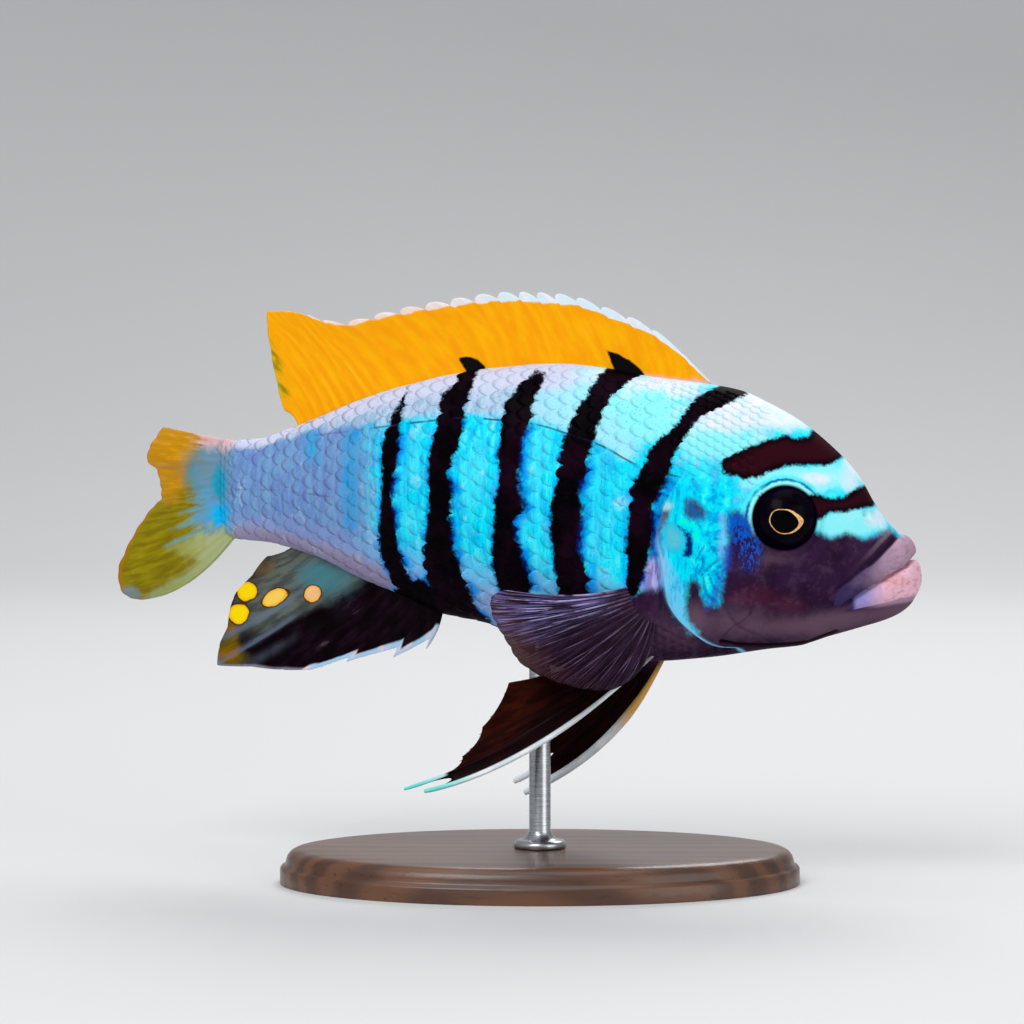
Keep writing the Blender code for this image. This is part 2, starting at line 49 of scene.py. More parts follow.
# The skin. One closed surface wraps the head, lips, gill covers, trunk and tail stalk. It is wet,
# scaled hide over muscle, and thin bare hide on the head. A grid of places on the fish's side is
# wrapped round the body, and then raised or sunk along its normals for lips, gill covers and eyes.
BACK = [(-38.4, 49.8), (-37.8, 50.2), (-37.0, 50.4), (-36.2, 50.5), (-32.9, 50.8), (-28.5, 52.3),
        (-21.1, 55.4), (-15.0, 57.4), (-6.4, 59.2), (2.3, 59.9), (6.9, 59.5), (11.7, 58.6), (19.2, 57.6),
        (22.8, 56.9), (26.2, 55.4), (29.7, 53.4), (33.1, 50.7), (36.5, 47.0), (38.2, 44.0), (39.9, 41.6),
        (41.6, 40.0), (42.7, 38.4), (43.3, 37.0), (43.5, 35.8)]
BELLY = [(-38.4, 38.3), (-37.8, 38.6), (-37.0, 38.8), (-36.2, 38.9), (-31.6, 38.6), (-28.8, 38.0),
         (-25.6, 37.0), (-21.3, 35.0), (-15.6, 32.8), (-11.2, 30.9), (-6.2, 30.0), (-3.5, 29.0),
         (2.3, 27.5), (6.9, 26.5), (12.6, 25.8), (19.5, 26.3), (26.3, 27.3), (29.8, 27.7), (33.2, 28.8),
         (36.6, 29.8), (40.0, 30.9), (41.6, 31.8), (42.5, 32.7), (43.1, 33.8), (43.5, 35.0)]
HALF_WIDTH = [(-38.4, 0.0), (-38.2, 0.22), (-37.7, 0.46), (-37.0, 0.82), (-36.2, 1.22), (-34.0, 1.7),
              (-30.0, 2.4), (-24.0, 3.4), (-18.0, 4.5), (-11.0, 5.7), (-4.0, 6.7), (3.0, 7.4),
              (10.0, 7.7), (16.0, 7.6), (22.0, 7.2), (27.0, 6.7), (31.6, 6.0), (35.1, 5.2), (38.5, 4.1),
              (40.3, 3.4), (42.0, 2.5), (42.9, 1.7), (43.3, 0.9), (43.5, 0.0)]
BACK_FULLNESS = [(-36.0, 2.0), (-10.0, 1.9), (12.0, 2.0), (30.0, 2.1), (43.0, 2.3)]
BELLY_FULLNESS = [(-36.0, 2.0), (-20.0, 1.8), (-8.0, 2.0), (8.0, 2.4), (20.0, 2.5), (43.0, 2.2)]
WIDEST_AT = 0.52
BEND_START = 13.8
HEAD_LEAN = 0.07
BEND_RATE = 0.01026
TAIL_SWING = 0.5
TAIL_SWING_FROM, TAIL_SWING_TO = -35.2, -37.4
TAIL_END, SNOUT_END = BACK[0][0], BACK[-1][0]
GILL_EDGE = [(0.0, 23.4), (0.03, 22.4), (0.045, 20.7), (0.08, 18.8), (0.12, 17.3), (0.17, 15.8),
             (0.22, 14.9), (0.3, 14.4), (0.38, 14.0), (0.44, 13.6), (0.5, 13.9), (0.61, 15.2),
             (0.69, 16.9), (0.82, 18.2), (1.0, 19.6)]
CHEEK_EDGE = [(0.0, 27.4), (0.055, 25.6), (0.12, 22.6), (0.19, 21.2), (0.26, 20.6), (0.42, 21.1),
              (0.53, 21.2), (0.6, 20.4), (0.66, 18.9), (0.72, 19.2), (1.0, 21.6)]
LIP_EDGE = [(0.0, 29.4), (0.07, 29.9), (0.11, 31.0), (0.16, 33.2), (0.2, 33.5), (0.25, 33.9),
            (0.321, 35.4), (0.495, 37.8), (0.76, 39.7), (0.967, 40.9), (1.0, 41.1)]
MOUTH_EDGE = [(0.0, 31.0), (0.1, 33.0), (0.16, 34.3), (0.195, 35.1), (0.24, 36.6), (0.37, 38.6),
              (0.49, 40.1), (0.64, 41.8), (0.9, 42.7), (1.0, 43.0)]
MOUTH_LINE = [(34.0, 32.3), (35.0, 32.8), (36.6, 33.8), (38.6, 35.1), (40.0, 36.0), (41.5, 37.1),
              (43.5, 37.9)]
CHIN_LINE = [(34.0, 31.5), (36.4, 32.1), (38.6, 32.5), (40.9, 33.0), (43.5, 33.4)]
GILL_TOP = 0.66
GILL_LIFT, GILL_GROOVE, GILL_HOLLOW = 0.42, 0.62, 0.25
CHEEK_LIFT, CHEEK_GROOVE = 0.16, 0.2
LIP_RISE, CHIN_RISE, LIP_CREASE = 0.52, 0.5, 0.14
MOUTH_DEPTH, THROAT_DEPTH = 0.95, 0.26
EYE = (27.97, 42.6)
EYE_RADIUS = 3.5
SOCKET_RIM, SOCKET_DEPTH = 0.42, 2.6
NOSTRIL = (37.2, 42.9)
NOSTRIL_RIM, NOSTRIL_DEPTH = 0.14, 0.7
PECTORAL_LOBE, PECTORAL_LOBE_SIZE, PECTORAL_LOBE_RISE = (12.6, 33.0), (1.7, 2.6), 0.45
THROAT_LINE = [(20.0, 28.8), (22.9, 28.05), (25.5, 27.9), (28.4, 27.95), (30.7, 28.2), (34.0, 29.5)]
SKIN_ROWS = 106
SKIN_COLUMNS = (204, 36, 84, 30, 34)
SIDES = (("right", -1), ("left", 1))


def curve(knots):
    """A smooth line through (place, value) knots, which never swings past them."""
    x, y = np.array(sorted(knots), float).T
    step = np.diff(x)
    rise = np.diff(y) / step
    slope = np.zeros(len(x))
    slope[0], slope[-1] = rise[0], rise[-1]
    for k in range(1, len(x) - 1):
        if rise[k - 1] * rise[k] > 0:
            a, b = 2 * step[k] + step[k - 1], step[k] + 2 * step[k - 1]
            slope[k] = (a + b) / (a / rise[k - 1] + b / rise[k])

    def at(place):
        place = np.clip(place, x[0], x[-1])
        k = np.clip(np.searchsorted(x, place) - 1, 0, len(x) - 2)
        t = (place - x[k]) / step[k]
        return (y[k] * (1 + 2 * t) * (1 - t) ** 2 + y[k + 1] * t * t * (3 - 2 * t)
                + step[k] * (slope[k] * t * (1 - t) ** 2 + slope[k + 1] * t * t * (t - 1)))

    return at


def path(points, share):
    """Points at the given shares of a smooth path through a list of points."""
    places = np.linspace(0.0, 1.0, len(points))
    return np.stack([curve(zip(places, axis))(share) for axis in zip(*points)], axis=-1)


back, belly, half_width = curve(BACK), curve(BELLY), curve(HALF_WIDTH)
back_fullness, belly_fullness = curve(BACK_FULLNESS), curve(BELLY_FULLNESS)
gill_edge, cheek_edge = curve(GILL_EDGE), curve(CHEEK_EDGE)
lip_edge, mouth_edge = curve(LIP_EDGE), curve(MOUTH_EDGE)
mouth_line, chin_line = curve(MOUTH_LINE), curve(CHIN_LINE)


def lean(x):
    """How fast the backbone runs to the side, for each millimetre towards the tail."""
    return HEAD_LEAN + BEND_RATE * np.maximum(BEND_START - x, 0.0)


def backbone(x):
    """The body's middle, seen from above. It crosses the stand's rod."""
    def sideways(at):
        behind = BEND_START - at
        return HEAD_LEAN * behind + BEND_RATE * np.maximum(behind, 0.0) ** 2 / 2
    return sideways(x) - sideways(0.0)


def flank(x, share):
    """Half the body's width at a share of its height."""
    above = share > WIDEST_AT
    reach = np.where(above, (share - WIDEST_AT) / (1 - WIDEST_AT), (WIDEST_AT - share) / WIDEST_AT)
    full = np.where(above, back_fullness(x), belly_fullness(x))
    return half_width(x) * (1 - np.clip(reach, 0, 1) ** full) ** (1 / full)


def height(x, share):
    return belly(x) + share * (back(x) - belly(x))


def share_of(x, z):
    return np.clip((z - belly(x)) / (back(x) - belly(x)), 0.0, 1.0)


def tail_swing(x):
    """How far the hide over the tail fin's root leaves the backbone's line, to follow the fin."""
    t = np.clip((TAIL_SWING_FROM - x) / (TAIL_SWING_FROM - TAIL_SWING_TO), 0.0, 1.0)
    run = TAIL_SWING_FROM - TAIL_SWING_TO
    return TAIL_SWING * (run * (t ** 3 - t ** 4 / 2) + np.maximum(TAIL_SWING_TO - x, 0.0))


def off_backbone(x, z, out, side):
    """Points this far out from the backbone, to the right where side is -1."""
    turn = np.arctan(lean(x))
    across = backbone(x) + tail_swing(x)
    return np.stack([x + side * np.sin(turn) * out, across + side * np.cos(turn) * out, z], -1)


def rise_over(value, low, high):
    """0 below low, 1 above high and smooth in between."""
    t = np.clip((value - low) / (high - low), 0.0, 1.0)
    return t * t * (3 - 2 * t)


def bump_at(value, width):
    return np.exp(-(value / width) ** 2)


def from_line(x, z, points):
    """Distance from a bent line, and how far along it the nearest place is, from 0 to 1."""
    best, along = np.full(x.shape, 1e9), np.zeros(x.shape)
    for k, (a, b) in enumerate(zip(points[:-1], points[1:])):
        run = (b[0] - a[0], b[1] - a[1])
        t = ((x - a[0]) * run[0] + (z - a[1]) * run[1]) / (run[0] ** 2 + run[1] ** 2)
        t = np.clip(t, 0, 1)
        gap = np.hypot(x - a[0] - t * run[0], z - a[1] - t * run[1])
        along = np.where(gap < best, (k + t) / (len(points) - 1), along)
        best = np.minimum(best, gap)
    return best, along


def skin_relief(x, share):
    """How far the surface stands out from the plain body, in millimetres."""
    z = height(x, share)
    gill, mouth, lip = gill_edge(share), mouth_edge(share), lip_edge(share)
    open_gill = rise_over(share, 0.02, 0.08) * rise_over(GILL_TOP + 0.03 - share, 0.0, 0.07)
    ahead = x - gill
    relief = open_gill * np.where(ahead > 0, GILL_LIFT * np.exp(-np.maximum(ahead, 0) / 2.6),
                                  -GILL_GROOVE * np.exp(np.minimum(ahead, 0) / 0.55)
                                  - GILL_HOLLOW * np.exp(np.minimum(ahead, 0) / 2.5))
    cheek = x - cheek_edge(share)
    cheek_line = rise_over(share, 0.05, 0.12) * rise_over(0.64 - share, 0.0, 0.08)
    relief += cheek_line * (CHEEK_LIFT * bump_at(cheek - 0.8, 0.9) - CHEEK_GROOVE * bump_at(cheek, 0.3))
    from_eye = np.hypot(x - EYE[0], z - EYE[1])
    relief += SOCKET_RIM * bump_at(from_eye - EYE_RADIUS - 0.35, 0.5)
    relief -= SOCKET_DEPTH * rise_over(EYE_RADIUS + 0.05 - from_eye, 0.0, 0.5)
    across = np.clip((x - lip) / (mouth - lip), 0, 1)
    lip_here = rise_over(share, 0.13, 0.21) * (x < mouth)
    relief += lip_here * LIP_RISE * np.sin(np.pi * across) ** 0.8
    relief -= rise_over(share, 0.17, 0.25) * LIP_CREASE * bump_at(x - lip, 0.3)
    below = (mouth_line(x) - z) / (mouth_line(x) - chin_line(x))
    chin_here = rise_over(x, 34.2, 36.2) * (1 - 0.85 * rise_over(x, 41.6, 43.2))
    relief += chin_here * CHIN_RISE * np.sin(np.pi * np.clip(below, 0, 1)) ** 0.8 * (x >= mouth)
    relief -= chin_here * LIP_CREASE * bump_at(z - chin_line(x), 0.25) * (x >= mouth)
    relief -= rise_over(x, 34.0, 35.4) * MOUTH_DEPTH * bump_at(x - mouth, 0.17)
    from_nostril = np.hypot(x - NOSTRIL[0], z - NOSTRIL[1])
    relief += NOSTRIL_RIM * bump_at(from_nostril - 0.5, 0.16) - NOSTRIL_DEPTH * bump_at(from_nostril, 0.28)
    from_lobe = np.hypot((x - PECTORAL_LOBE[0]) / PECTORAL_LOBE_SIZE[0],
                         (z - PECTORAL_LOBE[1]) / PECTORAL_LOBE_SIZE[1])
    relief += PECTORAL_LOBE_RISE * rise_over(1.25 - from_lobe, 0.0, 0.7) * (x < gill - 0.3)
    throat, _ = from_line(x, z, THROAT_LINE)
    relief -= THROAT_DEPTH * bump_at(throat, 0.2) * rise_over(x, 19.6, 21.5)
    return relief


def skin_grid():
    """Places on the fish's side: x and share of the height, in lines that follow the features."""
    share = (1 - np.cos(np.linspace(0, math.pi, SKIN_ROWS))) / 2
    tail = np.full(share.shape, TAIL_END)
    snout = np.full(share.shape, SNOUT_END)
    gill = gill_edge(share)
    stops = [(tail, gill - 0.03), (gill + 0.03, cheek_edge(share)), (None, lip_edge(share)),
             (None, mouth_edge(share)), (None, snout)]
    lines = []
    for (first, last), count in zip(stops, SKIN_COLUMNS):
        t = np.linspace(0, 1, count)[:, None]
        if last is snout:
            t = np.sin(t * math.pi / 2)
        start = lines[-1][-1] if first is None else first
        part = start * (1 - t) + last * t
        lines.append(part if first is not None else part[1:])
    x = np.concatenate(lines)
    return x, np.broadcast_to(share, x.shape)


def plain_mesh(name, points, faces):
    """A mesh from points in metres and faces of their numbers."""
    made = bpy.data.meshes.new(name)
    made.from_pydata([tuple(p) for p in points], [], [tuple(f) for f in faces])
    return made


def grid_quads(rows, columns, closed=False):
    """The four-sided faces of a grid of points, whose columns may meet in a ring."""
    i, j = np.meshgrid(np.arange(rows - 1), np.arange(columns if closed else columns - 1), indexing="ij")
    k = (j + 1) % columns
    return np.stack([i * columns + j, (i + 1) * columns + j, (i + 1) * columns + k, i * columns + k],
                    -1).reshape(-1, 4)


def grid_rim(rows, columns):
    """The points round the outside of a grid, with the first row first."""
    rim = [(0, k) for k in range(columns)] + [(k, columns - 1) for k in range(1, rows)]
    rim += [(rows - 1, k) for k in range(columns - 2, -1, -1)] + [(k, 0) for k in range(rows - 2, 0, -1)]
    return np.array([a * columns + b for a, b in rim])


def put_in_scene(name, data):
    made = bpy.data.objects.new(name, data)
    bpy.context.scene.collection.objects.link(made)
    return made


def new_piece(name, mesh, finish, slot_name, *nodes):
    """A finished piece on the part's one body, which stands for the nodes named."""
    piece = put_in_scene(name, mesh)
    mesh.materials.clear()
    mesh.materials.append(finish)
    mesh.shade_smooth()
    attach(piece, "root")
    if nodes:
        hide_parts(*nodes)
    return piece


def store(mesh, **fields):
    """Keeps numbers on a mesh's points, for the materials to read."""
    for name, values in fields.items():
        kind = "FLOAT_VECTOR" if np.ndim(values) == 2 else "FLOAT"
        made = mesh.attributes.get(name) or mesh.attributes.new(name, kind, "POINT")
        data = np.ascontiguousarray(values, np.float32).ravel()
        made.data.foreach_set("vector" if kind == "FLOAT_VECTOR" else "value", data)


def wrap_skin():
    """The grid on the right side and on the left, joined along the back and the belly."""
    x, share = skin_grid()
    sides = [off_backbone(x, height(x, share), flank(x, share), side) for side in (-1, 1)]
    ring = np.concatenate([sides[0], sides[1][:, -2:0:-1]], axis=1)
    ring_x = np.concatenate([x, x[:, -2:0:-1]], axis=1)
    ring_share = np.concatenate([share, share[:, -2:0:-1]], axis=1)
    around = ring.shape[1]
    mesh = plain_mesh("skin", ring.reshape(-1, 3) * MM, grid_quads(len(x), around, closed=True))
    normals = np.zeros(len(mesh.vertices) * 3, np.float32)
    mesh.vertex_normals.foreach_get("vector", normals)
    normals = normals.reshape(len(x), around, 3)
    normals[0], normals[-1] = (-1, 0, 0), (1, 0, 0)
    points = ring + normals * skin_relief(ring_x, ring_share)[..., None]
    mesh.vertices.foreach_set("co", (points * MM).astype(np.float32).ravel())
    return mesh, ring_x.ravel(), ring_share.ravel()


def merge_doubles(mesh):
    """Joins points that lie in one place, and turns all the faces outward."""
    work = bmesh.new()
    work.from_mesh(mesh)
    bmesh.ops.remove_doubles(work, verts=work.verts, dist=1e-6)
    bmesh.ops.dissolve_degenerate(work, edges=work.edges, dist=1e-7)
    bmesh.ops.recalc_face_normals(work, faces=work.faces)
    if work.calc_volume(signed=True) < 0:
        bmesh.ops.reverse_faces(work, faces=work.faces)
    work.to_mesh(mesh)
    work.free()


# The fish's markings, on its side. An outline's points are millimetres along and up, and a patch
# gives its middle, its reach along and up, and its strength.
BARS = [
    [(20.8, 57.6), (18.0, 56.0), (17.3, 55.0), (16.1, 53.3), (14.2, 51.7), (12.9, 49.5), (11.4, 46.3),
     (10.8, 41.7), (10.5, 36.9), (10.3, 33.5), (11.6, 33.8), (12.9, 38.5), (13.2, 40.8), (13.1, 43.9),
     (14.7, 47.0), (15.9, 49.9), (18.0, 53.2), (19.2, 54.1), (23.7, 56.4), (23.6, 57.6)],
    [(8.2, 61.0), (7.2, 58.1), (5.9, 55.7), (4.7, 53.6), (3.9, 50.6), (3.5, 47.5), (2.8, 44.0),
     (2.7, 41.0), (2.9, 38.8), (3.1, 36.6), (3.8, 31.0), (6.6, 31.0), (6.7, 34.6), (6.5, 36.7),
     (5.7, 38.9), (5.9, 41.1), (6.2, 44.1), (5.6, 45.6), (6.5, 47.5), (6.7, 49.7), (7.4, 51.0),
     (7.6, 52.5), (8.0, 54.2), (8.9, 56.0), (10.4, 57.5), (12.2, 59.2)],
    [(0.4, 59.2), (-1.4, 57.4), (-2.2, 55.9), (-2.9, 53.9), (-2.9, 51.3), (-3.2, 49.6), (-2.8, 47.4),
     (-3.3, 44.2), (-3.4, 40.9), (-3.7, 36.9), (-2.6, 31.5), (1.2, 31.5), (0.0, 36.6), (-0.7, 39.6),
     (-1.3, 42.0), (0.0, 43.6), (-0.6, 45.8), (-0.6, 49.2), (-0.4, 51.8), (0.5, 53.5), (0.6, 55.7),
     (1.3, 57.2), (1.5, 58.8)],
    [(-8.7, 61.0), (-8.8, 59.2), (-8.7, 57.7), (-10.2, 56.0), (-9.8, 54.5), (-10.3, 52.1), (-10.7, 50.4),
     (-10.8, 47.7), (-10.7, 44.0), (-11.0, 40.7), (-11.6, 38.0), (-11.6, 35.8), (-10.4, 29.5),
     (-5.6, 29.5), (-6.6, 34.1), (-7.5, 36.8), (-8.0, 38.6), (-8.2, 41.7), (-8.0, 45.6), (-8.5, 47.6),
     (-7.5, 50.0), (-7.1, 52.3), (-7.1, 54.3), (-6.6, 56.5), (-6.4, 58.4), (-6.4, 61.0)],
    [(-14.3, 57.3), (-15.1, 55.0), (-15.8, 52.7), (-16.5, 50.5), (-16.3, 47.6), (-16.4, 43.9),
     (-16.8, 40.5), (-16.9, 38.3), (-16.6, 36.0), (-15.6, 33.2), (-13.2, 33.6), (-13.9, 36.1),
     (-14.7, 38.8), (-14.8, 42.4), (-15.1, 44.3), (-14.8, 47.2), (-14.5, 48.5), (-14.4, 51.6),
     (-14.2, 54.6)],
    [(-12.5, 35.2), (-16.5, 33.6), (-16.0, 31.0), (-4.0, 28.0), (-5.0, 30.6), (-9.5, 32.6)],
]
BROWS = [
    [(20.8, 48.8), (21.9, 49.5), (23.7, 50.4), (25.5, 51.2), (28.3, 52.0), (29.0, 51.5), (30.6, 51.6),
     (31.4, 53.0), (35.3, 50.0), (34.4, 49.2), (33.0, 48.5), (30.8, 48.5), (28.4, 48.5), (26.4, 47.9),
     (25.0, 47.1), (23.3, 47.1), (21.5, 47.7)],
    [(29.5, 44.6), (31.4, 45.3), (33.1, 44.8), (34.6, 44.9), (36.1, 45.8), (38.4, 46.6), (39.4, 44.0),
     (37.9, 43.8), (36.2, 43.5), (34.6, 43.2), (33.1, 43.2), (32.0, 42.4), (30.2, 42.8)],
]
DARK_FACE = [(46.0, 41.2), (40.9, 40.4), (39.8, 41.2), (37.1, 40.1), (35.0, 40.9), (33.3, 40.3),
             (31.8, 40.9), (30.6, 42.0), (27.9, 42.5), (25.2, 41.8), (24.4, 40.8), (23.9, 42.1),
             (22.9, 43.4), (21.9, 43.3), (21.8, 40.8), (21.4, 38.6), (21.2, 36.0), (20.7, 32.6),
             (19.0, 32.8), (18.7, 34.0), (18.6, 35.0), (17.8, 35.7), (17.2, 35.5), (17.1, 34.5),
             (16.9, 33.0), (17.1, 31.0), (18.3, 29.7), (17.4, 29.2), (15.6, 31.5), (14.6, 34.4),
             (13.4, 35.4), (10.6, 33.6), (6.0, 30.5), (3.0, 29.0), (1.0, 24.0), (46.0, 22.0)]
BLUE_STRIPES = [[(-21.1, 52.2), (-19.2, 52.2), (-19.0, 41.0), (-20.9, 40.5)],
                [(-26.3, 51.9), (-24.3, 51.9), (-23.8, 48.3), (-25.7, 48.3)]]
UPPER_LATERAL_LINE = [(17.9, 46.9), (12.4, 48.2), (7.6, 50.8), (4.0, 52.1), (0.4, 53.1), (-3.3, 53.5),
                      (-7.0, 53.7), (-11.3, 53.3), (-15.7, 52.7), (-21.2, 51.9), (-25.9, 51.3)]
LOWER_LATERAL_LINE = [(-22.0, 44.3), (-26.6, 44.7), (-30.5, 44.9), (-35.5, 44.8)]
WHITE_PATCHES = [(24.8, 55.2, 5.2, 2.0, 1.3), (21.2, 53.8, 4.0, 1.9, 0.9), (29.2, 53.0, 2.6, 1.0, 0.7),
                 (31.5, 47.0, 2.2, 0.8, 0.9), (35.6, 47.4, 1.5, 2.0, 0.9), (38.4, 42.4, 1.4, 1.3, 0.9),
                 (14.5, 57.6, 4.6, 1.5, 1.0), (8.0, 58.8, 4.0, 1.2, 0.6)]
AQUA_PATCHES = [(21.0, 51.6, 5.4, 2.6, 1.1), (28.0, 47.0, 5.0, 1.4, 1.0), (33.5, 47.2, 3.4, 1.6, 1.1),
                (34.2, 42.0, 3.2, 1.4, 1.1), (37.0, 42.0, 1.8, 1.5, 0.9), (12.5, 55.2, 4.2, 3.6, 1.2)]
MAUVE_PATCHES = [(27.0, 38.0, 3.2, 0.9, 0.7), (22.6, 30.8, 4.5, 2.0, 0.8), (30.0, 29.7, 5.0, 1.2, 0.9),
                 (14.0, 29.0, 6.0, 2.6, 0.6), (37.0, 31.4, 4.6, 1.1, 1.0), (18.0, 31.5, 1.3, 1.8, 0.7),
                 (38.4, 41.0, 2.2, 0.7, 1.0), (33.0, 30.6, 4.5, 1.1, 0.8), (41.6, 32.2, 2.4, 1.2, 1.1)]
BLUSH_PATCHES = [(40.6, 35.3, 1.6, 0.8, 1.0)]
MAROON_PATCHES = [(24.5, 33.8, 3.6, 1.7, 1.0), (29.0, 32.4, 2.6, 1.4, 0.8)]
GILL_MARKS = {
    "lobe": [[(14.2, 41.0), (14.6, 42.2), (15.5, 42.2), (16.4, 41.5), (17.0, 40.4), (16.9, 39.4),
              (16.4, 38.8), (15.0, 38.6), (14.3, 39.6)]],
    "crescent": [[(15.9, 41.9), (16.7, 41.6), (17.5, 40.9), (17.7, 39.8), (17.7, 38.7), (17.4, 38.1),
                  (16.5, 38.4), (16.9, 39.2), (17.0, 40.2), (16.7, 41.0)]],
    "gleam": [[(15.6, 42.5), (17.0, 42.5), (17.4, 41.8), (16.3, 41.8)],
              [(17.5, 42.4), (18.3, 42.0), (18.5, 41.0), (18.0, 39.7), (17.6, 40.6), (17.9, 41.3)]],
    "smudge": [[(16.8, 44.5), (17.6, 44.7), (18.4, 44.2), (19.1, 43.6), (19.0, 42.5), (18.3, 42.5),
                (17.2, 42.6), (16.9, 43.2)]],
    "bruise": [[(13.8, 43.0), (14.5, 43.6), (15.2, 43.6), (14.9, 42.7), (14.4, 41.9), (13.9, 40.9),
                (13.6, 41.8)]],
    "cream": [[(14.1, 43.6), (14.9, 44.5), (15.4, 44.2), (15.1, 43.5)]],
    "shadow": [[(12.8, 42.6), (13.7, 43.0), (13.9, 42.4), (14.0, 40.3), (14.0, 38.2), (13.2, 38.0),
                (12.8, 40.8)]],
    "lilac": [[(12.6, 37.7), (14.2, 37.8), (14.4, 36.0), (13.9, 34.7), (12.4, 34.7), (12.3, 36.4)]],
    "strip": [[(14.4, 39.4), (15.2, 37.4), (15.9, 36.0), (16.7, 34.8), (16.8, 32.9), (17.1, 31.3),
               (18.3, 29.5), (19.9, 28.5), (22.1, 27.8), (21.2, 27.3), (18.6, 28.4), (16.5, 30.6),
               (15.2, 32.3), (14.6, 34.6), (13.8, 37.3), (13.8, 39.3)]],
    "cheek_rim": [[(20.9, 43.1), (21.5, 42.8), (21.6, 41.5), (21.5, 39.2), (21.2, 38.3), (20.8, 38.0),
                   (20.7, 39.2), (20.9, 40.8)]],
    "blue_rim": [[(21.2, 39.4), (21.9, 39.4), (21.9, 37.3), (21.2, 36.2), (20.6, 33.4), (19.2, 32.2),
                  (20.9, 36.2)]],
    "specks": [[(21.7, 42.9), (23.6, 42.9), (24.2, 41.2), (24.9, 40.4), (25.2, 38.7), (24.9, 37.2),
                (23.7, 36.6), (22.9, 38.5), (22.3, 40.2), (21.7, 41.3)]]}
GILL_FAN = (17.5, 38.7)


def inside(x, z, outlines):
    """Depth inside the nearest outline, in millimetres, and less than nothing outside them."""
    depth = np.full(x.shape, -99.0)
    for outline in outlines:
        closed = outline + outline[:1]
        gap, _ = from_line(x, z, closed)
        within = np.zeros(x.shape, bool)
        for a, b in zip(closed[:-1], closed[1:]):
            crosses = (a[1] > z) != (b[1] > z)
            rise = b[1] - a[1] if b[1] != a[1] else 1e-9
            within ^= crosses & (x < a[0] + (z - a[1]) / rise * (b[0] - a[0]))
        depth = np.maximum(depth, np.where(within, gap, -gap))
    return depth


def patches(x, z, spots):
    """The strengths of soft round patches, added up."""
    total = np.zeros(x.shape)
    for across, up, wide, tall, strength in spots:
        total += strength * np.exp(-((x - across) / wide) ** 2 - ((z - up) / tall) ** 2)
    return total


def line_gap(line, x, z):
    """Height over a line of pored scales, and far off beyond its ends."""
    return z - curve(line)(x) + 99 * (x > line[0][0]) + 99 * (x < line[-1][0])


def mark_skin(mesh, x, z, line_x, line_z):
    """Puts the markings on any mesh whose points have a place on the fish's side."""
    share = share_of(x, z)
    from_gill = x - gill_edge(share)
    upper_line = curve(UPPER_LATERAL_LINE)
    mouth, lip = mouth_edge(share), lip_edge(share)
    upper_lip = rise_over(x - lip, -0.1, 0.35) * (x < mouth) * rise_over(share, 0.13, 0.2)
    below = (mouth_line(x) - z) / (mouth_line(x) - chin_line(x))
    lower_lip = (x >= mouth) * rise_over(x, 34.4, 36.5) * rise_over(1.25 - below, 0.0, 0.5)
    fan_angle = np.arctan2(z - GILL_FAN[1], x - GILL_FAN[0])
    fan_reach = np.hypot(z - GILL_FAN[1], x - GILL_FAN[0])
    ripple = 0.5 + 0.5 * np.cos(27 * fan_angle + 1.4 * np.sin(1.7 * fan_reach))
    throat, _ = from_line(x, z, THROAT_LINE)
    store(
        mesh,
        bars=inside(x, z, BARS),
        fringe=inside(x - 0.4, z, BARS),
        brows=inside(x, z, BROWS),
        face=inside(x, z, [DARK_FACE]),
        stripes=inside(x, z, BLUE_STRIPES),
        white=patches(x, z, WHITE_PATCHES),
        aqua=patches(x, z, AQUA_PATCHES),
        mauve=patches(x, z, MAUVE_PATCHES),
        maroon=patches(x, z, MAROON_PATCHES),
        blush=patches(x, z, BLUSH_PATCHES),
        lip_line=x - lip + 9 * rise_over(0.24 - share, 0.0, 0.05),
        rear=rise_over(-x, 13.0, 22.0),
        forward=rise_over(x, -5.0, 5.0),
        under=rise_over(0.42 - share, 0.0, 0.36),
        lowest=rise_over(0.24 - share, 0.0, 0.2) * rise_over(-x, 3.0, 12.0),
        above=rise_over(z - upper_line(x), -0.6, 1.6) * rise_over(14.5 - x, 0.0, 5.0),
        topmost=rise_over(share, 0.84, 0.96) * rise_over(10.0 - x, 0.0, 8.0),
        tail_root=rise_over(-x, 34.6, 37.0),
        low_side=rise_over(upper_line(x) - z, -0.6, 0.8),
        head=rise_over(x, 15.0, 18.5),
        gill=(rise_over(from_gill, -0.2, 0.4) * rise_over(22.4 - x, 0.0, 1.5)
              * rise_over(0.76 - share, 0.0, 0.16)),
        ripple=ripple * rise_over(fan_reach, 0.4, 1.0) * (np.abs(fan_angle + 0.45) < 1.15),
        speck_top=rise_over(z, 37.8, 42.4),
        mouth=upper_lip + 2 * lower_lip,
        front=rise_over(x, 35.5, 41.5),
        eye_gap=np.hypot(x - EYE[0], z - EYE[1]) - EYE_RADIUS,
        orbit=rise_over((z - EYE[1]) - 0.7 * (x - EYE[0]), -1.0, 1.5),
        gill_rim=bump_at(from_gill - 0.12, 0.26) * rise_over(0.5 - share, 0.0, 0.12),
        throat=throat + 9 * (x < 20.5),
        upper_gap=line_gap(UPPER_LATERAL_LINE, line_x, line_z),
        lower_gap=line_gap(LOWER_LATERAL_LINE, line_x, line_z),
        side=np.stack([x, share, z], -1),
        **{name: inside(x, z, outlines) for name, outlines in GILL_MARKS.items()},
    )


def tint(red, green, blue):
    """A colour as painters name it, 0 to 255, made linear for the shader."""
    shades = [v / 255 for v in (red, green, blue)]
    return tuple(v / 12.92 if v <= 0.04045 else ((v + 0.055) / 1.055) ** 2.4 for v in shades) + (1.0,)


